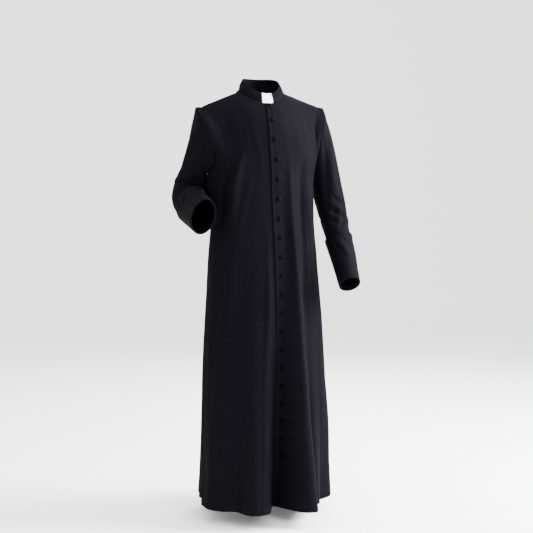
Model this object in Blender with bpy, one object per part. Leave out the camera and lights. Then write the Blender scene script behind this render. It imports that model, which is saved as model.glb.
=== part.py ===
"""A long black cassock in the shape it has when it is worn: two fronts that button left over right,
a back, two set-in sleeves with deep turned-back cuffs, a standing collar with a white collar tab, and
a row of cloth-covered buttons.

Metres, +Z up. The garment faces -Y, so +X is the wearer's left. The origin is the middle of the neck
seam, where the shoulders carry the garment. Every cloth piece is a thin wall: an outer grid of points
that follow the rules below, and the same grid moved in by the cloth's thickness.
"""

import math

import bpy
import numpy as np
from mathutils.bvhtree import BVHTree

# ---------------------------------------------------------------- cloth and seams
CLOTH = 0.0020  # body and sleeves: worsted cloth with its facing
COLLAR_CLOTH = 0.0025  # two layers over a stiffener
CUFF_CLOTH = 0.0025
TAB_THICK = 0.0010
SEAM = 0.0003  # what stays open between two pieces that are sewn together
LIFT = 0.0004  # between two layers that lie on each other

# ---------------------------------------------------------------- lengths
HEM_Z = -1.432  # 1.43 m from the neck seam down to the hem
CHEST_Z = -0.330  # below here the body is a stack of sections, above it hangs from its seams
COLLAR_HIGH = 0.036
TAB_WIDE = 0.043
TAB_HIDDEN = 0.012  # how far the tab runs on behind each end of the collar
CUFF_LONG = 0.178
EDGE_AT_NECK = 0.012  # the left front's edge, past the centre line
EDGE_BELOW = 0.022
EDGE_FULL_Z = -0.25  # from here down the edge has its full width
UNDERLAP = 0.030  # the right front runs on this far beneath the left; at the neck, to the collar's end
EASE = 0.040  # past the underlap, the left front comes back to the body over this width
BUTTON_R = 0.0075
BUTTON_HIGH = 0.0050
BUTTONS = 20
FIRST_BUTTON = 0.010  # down the front from the neck seam
SECOND_BUTTON = 0.068
BUTTON_STEP_TOP = 0.0685  # the steps shorten a little on the way down
BUTTON_STEP_LOW = 0.0590

# ---------------------------------------------------------------- the body's sections
# Half width, depth in front and behind, the middle's place, how square the section is, and how far
# round the panels turn, in degrees.
SECTION_COLUMNS = ("z", "half_width", "front", "back", "mid_x", "mid_y", "square", "turn")
SECTIONS = [
    (-0.330, 0.185, 0.126, 0.116, 0.000, 0.000, 0.12, 4.0),
    (-0.400, 0.186, 0.127, 0.112, 0.000, 0.000, 0.12, 4.5),
    (-0.484, 0.186, 0.130, 0.114, 0.003, 0.000, 0.11, 4.8),
    (-0.560, 0.192, 0.138, 0.122, 0.003, 0.000, 0.10, 4.8),
    (-0.730, 0.2005, 0.154, 0.144, 0.003, 0.000, 0.08, 5.0),
    (-0.905, 0.2115, 0.170, 0.163, 0.000, 0.000, 0.06, 5.5),
    (-1.080, 0.2205, 0.184, 0.180, 0.001, 0.000, 0.05, 6.0),
    (-1.256, 0.2275, 0.196, 0.194, 0.002, 0.000, 0.04, 6.5),
    (-1.440, 0.2340, 0.206, 0.206, 0.004, 0.000, 0.03, 7.0),
]

# ---------------------------------------------------------------- the body's folds
# Angles are round the body from the centre front, in degrees, and plus is the wearer's left. A fold
# with fade 0 grows down to the hem; one with fade 1 dies away at both ends.
FOLD_COLUMNS = (
    "top_z", "low_z", "top_angle", "low_angle", "top_half", "low_half", "depth", "grow", "fade",
)
FOLDS = {
    "right lobe": (-0.62, HEM_Z, -30, -31, 14, 17, 0.030, 1.3, 0),
    "front valley": (-0.60, HEM_Z, -3, -6, 10, 15, -0.105, 1.5, 0),
    "left lobe": (-0.24, HEM_Z, 17, 14, 13, 17, 0.058, 1.1, 0),
    "left dip": (-0.45, HEM_Z, 45, 52, 14, 18, -0.034, 1.2, 0),
    "left side flare": (-0.70, HEM_Z, 78, 80, 12, 16, 0.016, 1.3, 0),
    "right soft dip": (-0.70, HEM_Z, -52, -50, 10, 12, -0.014, 1.3, 0),
    "right side flare": (-0.75, HEM_Z, -78, -74, 12, 14, 0.010, 1.3, 0),
    "right back dip": (-0.60, HEM_Z, -112, -108, 14, 18, -0.030, 1.3, 0),
    "right back flare": (-0.50, HEM_Z, -144, -146, 15, 18, 0.034, 1.2, 0),
    "back dip": (-0.50, HEM_Z, 180, 180, 15, 21, -0.046, 1.3, 0),
    "left back flare": (-0.50, HEM_Z, 142, 142, 15, 19, 0.040, 1.2, 0),
    "left back dip": (-0.60, HEM_Z, 112, 110, 14, 18, -0.030, 1.3, 0),
    "drag to the bent arm": (-0.18, -0.56, -34, -60, 8, 12, 0.009, 1.0, 1),
    "hollow above the drag": (-0.20, -0.58, -54, -80, 9, 12, -0.012, 1.0, 1),
}

# ---------------------------------------------------------------- neck, shoulder and armhole seams
NECK_HALF = 0.0805
NECK_DEEP = 0.072
NECK_MID_Y = 0.002
NECK_RISE = (-0.0105, -0.0315, -0.008)  # height of the neck seam: steady, one wave and two waves round
SHOULDER = (0.218, 0.010, -0.054)  # where the shoulder seam meets the armhole
SEAM_LEAN = (0.45, 0.15)  # how steeply the cloth beside the neck rises to the seam, front and back
SEAM_PULL = 0.35  # how far it leans in to the neck
SEAM_STRENGTH = (1.0, 1.25)
# The panel angles where the top edge turns from neck to shoulder and from shoulder to armhole.
NECK_CORNER = 24.0
SHOULDER_CORNER = 44.0
# By the panel angle, from the shoulder down the front to the underarm (90) and up the back: the
# armhole's place and the way the cloth arrives there.
ARMHOLE_COLUMNS = ("angle", "x", "y", "z", "to_x", "to_y", "to_z")
ARMHOLE = [
    (44, 0.218, 0.010, -0.054, 0.30, 0.50, 0.05),
    (49, 0.214, -0.030, -0.091, 0.38, 0.28, 0.26),
    (55, 0.202, -0.058, -0.140, 0.34, 0.14, 0.30),
    (62, 0.192, -0.065, -0.198, 0.22, 0.10, 0.46),
    (72, 0.187, -0.046, -0.245, 0.10, 0.08, 0.70),
    (90, 0.189, 0.000, -0.265, 0.05, 0.00, 0.90),
    (108, 0.188, 0.048, -0.245, 0.10, -0.08, 0.70),
    (118, 0.196, 0.074, -0.198, 0.24, -0.12, 0.46),
    (125, 0.210, 0.074, -0.140, 0.36, -0.16, 0.30),
    (131, 0.219, 0.050, -0.091, 0.38, -0.26, 0.26),
    (136, 0.218, 0.010, -0.054, 0.30, -0.50, 0.05),
]
TILT = 0.035  # the left shoulder is held a little higher than the right
PULL = 0.95  # how strongly a column of cloth keeps its way at either end
PAD_HIGH = 0.0075  # the shoulder pad: how far it fills the corner out, and where on the cap
PAD_AT = 0.14
PAD_WIDE = 0.10

# ---------------------------------------------------------------- collar, cuff and button forms
COLLAR_TOP_HALF = 0.0650
COLLAR_TOP_DEEP = 0.0610
COLLAR_TOP_MID_Y = 0.0060
COLLAR_SWELL = 0.0022
CUFF_STAND = 0.0040  # how far the cuff's upper edge stands off the sleeve
BUTTON_PROFILE = [(0.84, 0.0), (1.0, 0.30), (0.80, 0.72)]  # radius and height, as shares

# ---------------------------------------------------------------- arms
# start is the middle of the sleeve below the armhole, elbow the corner that its line turns at, and
# twist how far the tube's cloth is turned against the armhole's, in degrees.
ARMS = {
    "left": {
        "side": 1,
        "start": (0.241, 0.003, -0.285),
        "elbow": (0.2735, 0.004, -0.430),
        "end": (0.2765, -0.137, -0.671),
        "bend_r": 0.160,
        "twist": -8,
    },
    "right": {
        "side": -1,
        "start": (-0.2185, 0.097, -0.284),
        "elbow": (-0.2380, 0.1420, -0.3705),
        "end": (-0.2525, -0.1313, -0.4382),
        "bend_r": 0.070,
        "twist": -42,
    },
}
# Half width across the arm's plane and along it, by the share of the way from start to end.
SLEEVE_COLUMNS = ("share", "across", "along")
SLEEVE_SIZES = {
    "left": [
        (0.00, 0.053, 0.070),
        (0.20, 0.052, 0.067),
        (0.37, 0.050, 0.064),
        (0.52, 0.045, 0.061),
        (0.75, 0.040, 0.057),
        (1.00, 0.0355, 0.053),
    ],
    "right": [
        (0.00, 0.0460, 0.061),
        (0.15, 0.0550, 0.060),
        (0.30, 0.0590, 0.061),
        (0.46, 0.0465, 0.062),
        (0.60, 0.0430, 0.062),
        (0.78, 0.0410, 0.061),
        (1.00, 0.0395, 0.059),
    ],
}
# Folds of the sleeves: shares of the way where one starts and stops, its angle round the sleeve (0 is
# outwards, 90 the front), its half width in degrees, and its depth.
SLEEVE_FOLD_COLUMNS = ("top", "low", "top_angle", "low_angle", "half", "depth")
SLEEVE_FOLDS = {
    "left": [
        (0.02, 0.58, 62, 98, 24, -0.007),
        (0.10, 0.66, 20, 50, 22, 0.006),
        (0.05, 0.55, 205, 250, 30, -0.007),
    ],
    "right": [
        (0.00, 0.34, 30, 70, 24, -0.006),
        (0.12, 0.52, 100, 140, 26, 0.005),
        (0.05, 0.60, 300, 260, 30, -0.006),
        (0.00, 0.44, 172, 172, 42, 0.020),
    ],
}

# ---------------------------------------------------------------- how finely each piece is divided
NECK_CELLS = 5
SEAM_CELLS = 4
ARMHOLE_CELLS = 9
BACK_NECK_CELLS = 5
SKIRT_ROWS = 18
CHEST_ROWS = 8
CAP_ROWS = (0.0, 0.06, 0.14, 0.24, 0.42, 0.62, 0.82, 1.0)  # closer together over the shoulder
ARM_CELLS = 12
CUFF_CELLS = 6
COLLAR_ROWS = 2
TAB_CELLS = 10
BUTTON_SIDES = 10

BLACK_WOOL = ("black_wool", (0.012, 0.011, 0.016), 0.85)
BUTTON_CLOTH = ("button_cloth", (0.015, 0.014, 0.020), 0.70)
WHITE_TAB = ("white_tab", (0.86, 0.87, 0.88), 0.35)
NUDGE = 1e-4  # the step for measuring a surface's slope
OTHER_DIAGONAL = 0.88
MITRE_LIMIT = 0.35  # a seam's cut grows no longer than the cloth's thickness over this


def column(columns, rows, name):
    """One named column of a table as an array."""
    return np.array([row[columns.index(name)] for row in rows], float)


def smooth(x, xs, ys):
    """A curve through the rows (xs, ys): a cubic in each interval, whose slope at a row is the mean
    slope of the intervals beside it."""
    order = np.argsort(xs)
    xs, ys = xs[order], ys[order]
    step = np.diff(ys) / np.diff(xs)
    slope = np.concatenate([[step[0]], (step[1:] + step[:-1]) / 2, [step[-1]]])
    x = np.clip(x, xs[0], xs[-1])
    i = np.clip(np.searchsorted(xs, x, side="right") - 1, 0, len(xs) - 2)
    wide = xs[i + 1] - xs[i]
    t = (x - xs[i]) / wide
    return (
        (2 * t**3 - 3 * t**2 + 1) * ys[i]
        + (t**3 - 2 * t**2 + t) * wide * slope[i]
        + (3 * t**2 - 2 * t**3) * ys[i + 1]
        + (t**3 - t**2) * wide * slope[i + 1]
    )


def step_up(t):
    """0 below 0, 1 above 1, and smooth between."""
    t = np.clip(t, 0, 1)
    return t * t * (3 - 2 * t)


def unit(v):
    return v / np.linalg.norm(v, axis=-1, keepdims=True)


def stack(x, y, z):
    return np.stack(np.broadcast_arrays(x, y, z), axis=-1)


# ---------------------------------------------------------------- the body
def section_point(angle, z):
    """A point of the bare section at height z: an oval with its corners pushed out."""
    a, front, back, mid_x, mid_y, square, turn = (
        smooth(z, column(SECTION_COLUMNS, SECTIONS, "z"), column(SECTION_COLUMNS, SECTIONS, name))
        for name in SECTION_COLUMNS[1:]
    )
    round_it = np.radians(angle + turn)
    s, c = np.sin(round_it), np.cos(round_it)
    deep = np.where(c > 0, front, back)
    return stack(mid_x + a * s * (1 + square * c * c), mid_y - deep * c * (1 + square * s * s), z)


def tilt(x):
    """How much higher the garment is carried at x."""
    return TILT * x * np.abs(x) / SHOULDER[0]


def level_neck(angle):
    """A point of the neck seam before the tilt; angle 0 is the centre front and 90 the side."""
    s, c = np.sin(np.radians(angle)), np.cos(np.radians(angle))
    steady, once, twice = NECK_RISE
    high = steady + once * c + twice * (2 * c * c - 1)
    return stack(NECK_HALF * s, NECK_MID_Y - NECK_DEEP * c, high)


def neck_point(angle):
    at = level_neck(angle)
    return stack(at[..., 0], at[..., 1], at[..., 2] + tilt(at[..., 0]))


def blend(share, first, last):
    """From first to last as share goes from 0 to 1."""
    share = np.asarray(share)[..., None]
    return (1 - share) * np.array(first) + share * np.array(last)


def top_edge(angle):
    """Where the column of cloth at a panel angle ends, on the neck, shoulder or armhole seam, and the
    way it arrives there."""
    angle = (np.asarray(angle, float) + 180) % 360 - 180
    side = np.where(angle < 0, -1.0, 1.0)
    angle = np.abs(angle)
    behind = angle > 90
    forward = np.where(behind, 180 - angle, angle)
    face = np.where(behind, -1.0, 1.0)[..., None]

    neck_side, shoulder = level_neck(90.0), np.array(SHOULDER)
    seam_way = unit(shoulder - neck_side)
    lean = np.where(behind, SEAM_LEAN[1], SEAM_LEAN[0])
    strong = np.where(behind, SEAM_STRENGTH[1], SEAM_STRENGTH[0])[..., None]
    across = unit(stack(0 * lean, face[..., 0], lean))
    corner_way = strong * (across - SEAM_PULL * seam_way)

    round_neck = np.clip(forward / NECK_CORNER, 0, 1)
    neck_at = level_neck(np.where(behind, 180 - 90 * round_neck, 90 * round_neck))
    middle_way = np.where(behind[..., None], np.array([0.0, -0.3, 0.7]), np.array([0.0, 0.6, 0.8]))
    middle_share = np.cos(np.pi / 2 * round_neck)[..., None]
    neck_way = middle_share * middle_way + (1 - middle_share) * corner_way

    out = np.clip((forward - NECK_CORNER) / (SHOULDER_CORNER - NECK_CORNER), 0, 1)
    seam_at = blend(out, neck_side, shoulder)
    seam_far = np.array([0.30, 0.0, 0.05]) + 0.50 * face * np.array([0.0, 1.0, 0.0])
    seam_way_here = (1 - out)[..., None] * corner_way + out[..., None] * seam_far

    angles = column(ARMHOLE_COLUMNS, ARMHOLE, "angle")
    armhole = [
        smooth(angle, angles, column(ARMHOLE_COLUMNS, ARMHOLE, name))
        for name in ARMHOLE_COLUMNS[1:]
    ]
    armhole = np.stack(armhole, axis=-1)

    on_neck = (forward <= NECK_CORNER)[..., None]
    on_seam = (forward <= SHOULDER_CORNER)[..., None]
    at = np.where(on_neck, neck_at, np.where(on_seam, seam_at, armhole[..., :3]))
    way = np.where(on_neck, neck_way, np.where(on_seam, seam_way_here, armhole[..., 3:]))
    mirror = np.stack([side, np.ones_like(side), np.ones_like(side)], axis=-1)
    at, way = at * mirror, way * mirror
    at[..., 2] += tilt(at[..., 0])
    return at, way


def bare_body(angle, level):
    """The body before its folds. level runs from 0 at the hem to 1 at the chest, along the sections,
    and on to 2 at the top seams, along a curve that leaves the chest upright and arrives as top_edge
    says."""
    angle, level = np.broadcast_arrays(np.asarray(angle, float), np.asarray(level, float))
    low = section_point(angle, HEM_Z + np.clip(level, 0, 1) * (CHEST_Z - HEM_Z))
    chest = section_point(angle, np.full_like(angle, CHEST_Z))
    under = section_point(angle, np.full_like(angle, CHEST_Z - 0.01))
    end, arrive = top_edge(angle)
    t = np.clip(level - 1, 0, 1)[..., None]
    reach = np.linalg.norm(end - chest, axis=-1, keepdims=True) * PULL
    high = (
        (2 * t**3 - 3 * t**2 + 1) * chest
        + (t**3 - 2 * t**2 + t) * reach * unit(chest - under)
        + (3 * t**2 - 2 * t**3) * end
        + (t**3 - t**2) * reach * arrive
    )
    return np.where(level[..., None] <= 1, low, high)


def fold_height(angle, z):
    """How far the folds push the cloth out at a panel angle and a height."""
    total = np.zeros(np.broadcast(angle, z).shape)
    for row in FOLDS.values():
        fold = dict(zip(FOLD_COLUMNS, row))
        along = np.clip((fold["top_z"] - z) / (fold["top_z"] - fold["low_z"]), 0, 1)
        middle = fold["top_angle"] + along * (fold["low_angle"] - fold["top_angle"])
        half = fold["top_half"] + along * (fold["low_half"] - fold["top_half"])
        off = (angle - middle + 180) % 360 - 180
        wave = 0.5 + 0.5 * np.cos(np.pi * np.clip(off / half, -1, 1))
        strength = np.sin(np.pi * along) ** 2 if fold["fade"] else along ** fold["grow"]
        total = total + fold["depth"] * strength * wave
    return total


def slope_normal(surface, u, v, du, dv):
    """The unit normal of surface(u, v), from points a small step to either side."""
    along_u = surface(u + du, v) - surface(u - du, v)
    along_v = surface(u, v + dv) - surface(u, v - dv)
    return unit(np.cross(along_u, along_v))


def body_point(angle, level):
    """The body's outer surface: the bare body, pushed out along its own normal by its folds."""
    safe = np.clip(level, NUDGE, 2 - NUDGE)
    bare = bare_body(angle, level)
    out = slope_normal(bare_body, angle, safe, 0.01, NUDGE)
    return bare + out * fold_height(angle, bare[..., 2])[..., None]


def body_normal(angle, level):
    safe = np.clip(level, 2 * NUDGE, 2 - 2 * NUDGE)
    return slope_normal(body_point, angle, safe, 0.02, NUDGE)


def front_angle(x, level):
    """The panel angle of a line that runs x beside the centre front."""
    z = HEM_Z + np.clip(level, 0, 1) * (CHEST_Z - HEM_Z)
    wide = smooth(
        z, column(SECTION_COLUMNS, SECTIONS, "z"), column(SECTION_COLUMNS, SECTIONS, "half_width")
    )
    # Above the chest the columns close in on the neck, which is narrower than the body.
    closing = step_up(np.clip(level - 1, 0, 1))
    neck_wide = NECK_HALF * 90 / NECK_CORNER
    return np.degrees(x / (wide * (1 - closing) + neck_wide * closing))


def front_edge(level):
    """How far the left front runs past the centre line."""
    z = bare_body(0.0, level)[..., 2]
    return EDGE_AT_NECK + (EDGE_BELOW - EDGE_AT_NECK) * step_up(z / EDGE_FULL_Z)


def underlap(level):
    """How far the right front runs on beneath the left."""
    z = bare_body(0.0, level)[..., 2]
    return TAB_WIDE / 2 + (UNDERLAP - TAB_WIDE / 2) * step_up(z / EDGE_FULL_Z)


def overlap_lift(angle, level):
    """How far the left front stands off the right front, which lies beneath its edge."""
    x = angle / front_angle(1.0, level)
    return (CLOTH + LIFT) * (1 - step_up((x - underlap(level) - 0.004) / EASE))


def left_front_point(angle, level):
    lift = overlap_lift(angle, level)[..., None]
    return body_point(angle, level) + lift * body_normal(angle, level)


# ---------------------------------------------------------------- the sleeves
def arm_frame(arm):
    """The arm's line: a straight, an arc round the elbow and a straight, in one plane."""
    start, elbow, end = (np.array(arm[name]) for name in ("start", "elbow", "end"))
    upper, lower = unit(elbow - start), unit(end - elbow)
    turn = math.acos(float(upper @ lower))
    cut = arm["bend_r"] * math.tan(turn / 2)
    straight = float(np.linalg.norm(elbow - start)) - cut
    outward = unit(np.cross(upper, lower))
    if outward[0] * arm["side"] < 0:
        outward = -outward
    inward_bend = unit(lower - upper)
    front = unit(inward_bend - upper * float(inward_bend @ upper))
    total = straight + arm["bend_r"] * turn + float(np.linalg.norm(end - elbow)) - cut
    return {
        "start": start,
        "upper": upper,
        "front": front,
        "outward": outward,
        "straight": straight,
        "turn": turn,
        "bend_r": arm["bend_r"],
        "long": total,
    }


def arm_place(frame, way):
    """The arm line's point, direction and front side, way metres from its start."""
    way = np.asarray(way, float)[..., None]
    upper, front, r = frame["upper"], frame["front"], frame["bend_r"]
    swing = np.clip((way - frame["straight"]) / r, 0, frame["turn"])
    straight = np.minimum(way, frame["straight"])
    rest = np.maximum(way - frame["straight"] - r * frame["turn"], 0)
    along = np.cos(swing) * upper + np.sin(swing) * front
    side = np.cos(swing) * front - np.sin(swing) * upper
    at = frame["start"] + straight * upper
    at = at + r * (np.sin(swing) * upper + (1 - np.cos(swing)) * front) + rest * along
    return at, along, side


def sleeve_folds(name, round_it, share):
    total = np.zeros(np.broadcast(round_it, share).shape)
    for row in SLEEVE_FOLDS[name]:
        fold = dict(zip(SLEEVE_FOLD_COLUMNS, row))
        along = np.clip((share - fold["top"]) / (fold["low"] - fold["top"]), 0, 1)
        middle = fold["top_angle"] + along * (fold["low_angle"] - fold["top_angle"])
        off = (round_it - middle + 180) % 360 - 180
        wave = 0.5 + 0.5 * np.cos(np.pi * np.clip(off / fold["half"], -1, 1))
        total = total + fold["depth"] * np.sin(np.pi * along) ** 2 * wave
    return total


def sleeve_tube(name, round_it, way, out=0.0):
    """A point of the sleeve's tube: an oval round the arm's line, 0 degrees outwards and 90 to the
    front before the twist, with its folds, moved out by out."""
    frame = arm_frame(ARMS[name])
    round_it = np.asarray(round_it) + ARMS[name]["twist"]
    share = np.clip(np.asarray(way, float) / frame["long"], 0, 1)
    across, along = (
        smooth(
            share,
            column(SLEEVE_COLUMNS, SLEEVE_SIZES[name], "share"),
            column(SLEEVE_COLUMNS, SLEEVE_SIZES[name], size),
        )
        for size in SLEEVE_COLUMNS[1:]
    )
    push = sleeve_folds(name, round_it, share) + out
    at, _, front = arm_place(frame, way)
    c, s = np.cos(np.radians(round_it)), np.sin(np.radians(round_it))
    return at + ((across + push) * c)[..., None] * frame["outward"] + ((along + push) * s)[..., None] * front


def armhole_table():
    """Angles round a sleeve beside the panel angles of the armhole, in step with the length of the
    seam: down the front from the shoulder (0) to the underarm (180), and up the back."""
    forward = np.linspace(SHOULDER_CORNER, 90, 120)
    halves = []
    for panel in (forward, 180 - forward):
        edge, _ = top_edge(panel)
        far = np.concatenate([[0], np.cumsum(np.linalg.norm(np.diff(edge, axis=0), axis=1))])
        halves.append(180 * far / far[-1])
    round_it = np.concatenate([halves[0], (360 - halves[1])[::-1][1:]])
    return round_it, np.concatenate([forward, (180 - forward)[::-1][1:]])


def sleeve_cap(name, round_it, t):
    """The sleeve between the armhole (t is 0) and the start of its tube (t is 1). Each line leaves the
    armhole outwards and arrives along the arm; over the shoulder a pad keeps the corner."""
    arm = ARMS[name]
    round_table, angle_table = armhole_table()
    angle = arm["side"] * np.interp(np.mod(round_it, 360.0), round_table, angle_table)
    points, _ = top_edge(angle)
    end = sleeve_tube(name, round_it, 0.0)
    _, arm_way, front = arm_place(arm_frame(arm), 0.0)
    top = 0.5 + 0.5 * np.cos(np.radians(round_it))[..., None]
    bulge = np.sin(np.radians(round_it))[..., None]
    sideways = np.array([arm["side"], 0.0, 0.0])
    far = np.linalg.norm(end - points, axis=-1, keepdims=True)
    leave = (0.18 + 0.24 * top) * sideways + (0.45 - 0.37 * top) * arm_way
    leave = far * leave + 0.03 * bulge * front
    arrive = far * (0.75 + 0.35 * top) * arm_way
    t = np.asarray(t, float)[..., None]
    pad = PAD_HIGH * top**3 * np.exp(-(((t - PAD_AT) / PAD_WIDE) ** 2)) * step_up(t / PAD_AT)
    return (
        (2 * t**3 - 3 * t**2 + 1) * points
        + (t**3 - 2 * t**2 + t) * leave
        + (3 * t**2 - 2 * t**3) * end
        + (t**3 - t**2) * arrive
        + pad * unit(sideways + np.array([0.0, 0.0, 1.0]))
    )


def sleeve_point(name, round_it, along):
    """The sleeve's outer surface: along runs over the cap from 0 to 1 and down the tube from 1 to 2."""
    round_it, along = np.broadcast_arrays(np.asarray(round_it, float), np.asarray(along, float))
    cap = sleeve_cap(name, round_it, np.clip(along, 0, 1))
    way = np.clip(along - 1, 0, 1) * arm_frame(ARMS[name])["long"]
    tube = sleeve_tube(name, round_it, way)
    return np.where(along[..., None] < 1, cap, tube)


def sleeve_normal(name, round_it, along):
    safe = np.clip(along, NUDGE, 2 - NUDGE)
    out = slope_normal(lambda u, v: sleeve_point(name, u, v), round_it, safe, 0.5, NUDGE)
    return out * ARMS[name]["side"]


# ---------------------------------------------------------------- the collar
def collar_point(angle, rise, out=0.0):
    """The collar's outer face: rise 0 on the neck seam and 1 at its upper edge, where the ring is
    smaller and further back."""
    s, c = np.sin(np.radians(angle)), np.cos(np.radians(angle))
    base = neck_point(angle)
    top = stack(
        COLLAR_TOP_HALF * s, COLLAR_TOP_MID_Y - COLLAR_TOP_DEEP * c, base[..., 2] + COLLAR_HIGH
    )
    out_way = unit(stack(s / NECK_HALF, -c / NECK_DEEP, 0 * s))
    rise = np.asarray(rise, float)[..., None]
    swell = COLLAR_SWELL * np.sin(np.pi * rise)
    return (1 - rise) * base + rise * top + (out + swell) * out_way


def collar_normal(angle, rise):
    safe = np.clip(rise, NUDGE, 1 - NUDGE)
    return slope_normal(collar_point, angle, safe, 0.05, NUDGE)


# ---------------------------------------------------------------- seams
def corner_kind(angle):
    """How far forward of the side a panel angle is, and whether it lies on the neck's or the
    shoulder's corner."""
    forward = np.abs((np.asarray(angle) + 180) % 360 - 180)
    forward = np.where(forward > 90, 180 - forward, forward)
    return forward, np.abs(forward - NECK_CORNER) < 1e-6, np.abs(forward - SHOULDER_CORNER) < 1e-6


def across_shoulder(angle):
    """The panel angle of the same point of the shoulder seam on the other panel."""
    return np.sign(angle) * (180 - np.abs(angle))


def seam_neighbours(angle):
    """The normals of the pieces on the far side of the top seams, summed where two meet."""
    angle = np.asarray(angle, float)
    forward, at_neck, at_shoulder = corner_kind(angle)
    neck_angle = 90 * np.clip(forward / NECK_CORNER, 0, 1)
    neck_angle = np.where(np.abs(angle) > 90, 180 - neck_angle, neck_angle) * np.sign(angle + 1e-12)
    collar = collar_normal(neck_angle, np.zeros_like(angle))
    other = body_normal(across_shoulder(angle), np.full_like(angle, 2.0))
    sleeves = np.zeros_like(collar)
    for name, arm in ARMS.items():
        round_table, angle_table = armhole_table()
        inside = np.clip(np.abs(angle), SHOULDER_CORNER, 180 - SHOULDER_CORNER)
        round_it = np.interp(inside, angle_table, round_table)
        here = np.sign(angle) == arm["side"]
        sleeves[here] = sleeve_normal(name, round_it, np.zeros_like(round_it))[here]
    use_collar = ((forward < NECK_CORNER) | at_neck)[..., None]
    use_other = (((forward > NECK_CORNER) & (forward < SHOULDER_CORNER)) | at_neck | at_shoulder)
    use_sleeve = ((forward > SHOULDER_CORNER) | at_shoulder)[..., None]
    return use_collar * collar + use_other[..., None] * other + use_sleeve * sleeves


def seam_cut(angle, middle):
    """The normals of the seam's planes, towards the body, summed at a corner."""
    forward, at_neck, at_shoulder = corner_kind(angle)
    _, way = top_edge(angle)
    total = np.zeros_like(middle)
    for step in (-0.02, 0.02):
        here, _ = top_edge(angle)
        beside, _ = top_edge(angle + step)
        cut = unit(np.cross(middle, unit(beside - here)))
        cut = cut * np.sign(np.sum(cut * -way, axis=-1, keepdims=True))
        total = total + cut
    return np.where((at_neck | at_shoulder)[..., None], total, unit(total))


def shared_at_side(vectors, mirrored, angle):
    """The mean of both panels' vectors beside the side seam, so that their rims meet squarely."""
    beside = (np.abs(np.abs(angle) - 90) < 0.2)[..., None]
    return np.where(beside, unit(vectors + mirrored), vectors)


def seam_middle(angle):
    """The normal halfway between a panel and its neighbours on the top seams."""
    own = body_normal(angle, np.full_like(angle, 2.0))
    return unit(own + seam_neighbours(angle))


def top_rim(angle, lift):
    """The outer and inner edge of a body panel on the top seams, cut on the plane halfway between the
    panel and its neighbour."""
    full = np.full_like(angle, 2.0)
    own = body_normal(angle, full)
    middle = shared_at_side(seam_middle(angle), seam_middle(across_shoulder(angle)), angle)
    stretch = middle / np.maximum(np.sum(middle * own, axis=-1, keepdims=True), MITRE_LIMIT)
    outer = body_point(angle, full) + SEAM / 2 * seam_cut(angle, middle) + lift[..., None] * stretch
    return outer, outer - CLOTH * stretch


def sleeve_rim(name, round_it):
    """The outer and inner edge of a sleeve on the armhole, cut like the body's."""
    round_table, angle_table = armhole_table()
    side = ARMS[name]["side"]
    panel = np.interp(np.mod(round_it, 360.0), round_table, angle_table)
    full = np.full_like(panel, 2.0)
    own = sleeve_normal(name, round_it, np.zeros_like(round_it))
    body = body_normal(side * panel, full)
    _, _, at_shoulder = corner_kind(panel)
    body = body + at_shoulder[..., None] * body_normal(side * (180 - panel), full)
    middle = unit(own + body)
    stretch = middle / np.maximum(np.sum(middle * own, axis=-1, keepdims=True), MITRE_LIMIT)
    step = 0.5
    edge = sleeve_point(name, round_it + step, 0.0) - sleeve_point(name, round_it - step, 0.0)
    leave = sleeve_point(name, round_it, 0.01) - sleeve_point(name, round_it, 0.0)
    cut = unit(np.cross(middle, unit(edge)))
    cut = cut * np.sign(np.sum(cut * leave, axis=-1, keepdims=True))
    outer = sleeve_point(name, round_it, 0.0) + SEAM / 2 * cut
    return outer, outer - CLOTH * stretch


# ---------------------------------------------------------------- meshes
def material(spec):
    name, colour, roughness = spec
    found = bpy.data.materials.get(name)
    if found:
        return found
    made = bpy.data.materials.new(name)
    made.use_nodes = True
    shader = made.node_tree.nodes["Principled BSDF"]
    shader.inputs["Base Color"].default_value = (*colour, 1.0)
    shader.inputs["Roughness"].default_value = roughness
    shader.inputs["Metallic"].default_value = 0.0
    made.diffuse_color = (*colour, 1.0)
    return made


def add_object(name, points, faces, spec):
    mesh = bpy.data.meshes.new(name)
    mesh.from_pydata([tuple(p) for p in points], [], faces)
    mesh.validate()
    mesh.materials.append(material(spec))
    mesh.shade_smooth()
    mesh.set_sharp_from_angle(angle=math.radians(40))
    obj = bpy.data.objects.new(name, mesh)
    bpy.context.scene.collection.objects.link(obj)
    return obj


def cell(a, b, c, d, flip=False, swap=False):
    """Two triangles of the cell a b c d, cut from a to c, or from b to d where swap says so."""
    pair = [(a, b, d), (b, c, d)] if swap else [(a, b, c), (a, c, d)]
    return [t[::-1] for t in pair] if flip else pair


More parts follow.
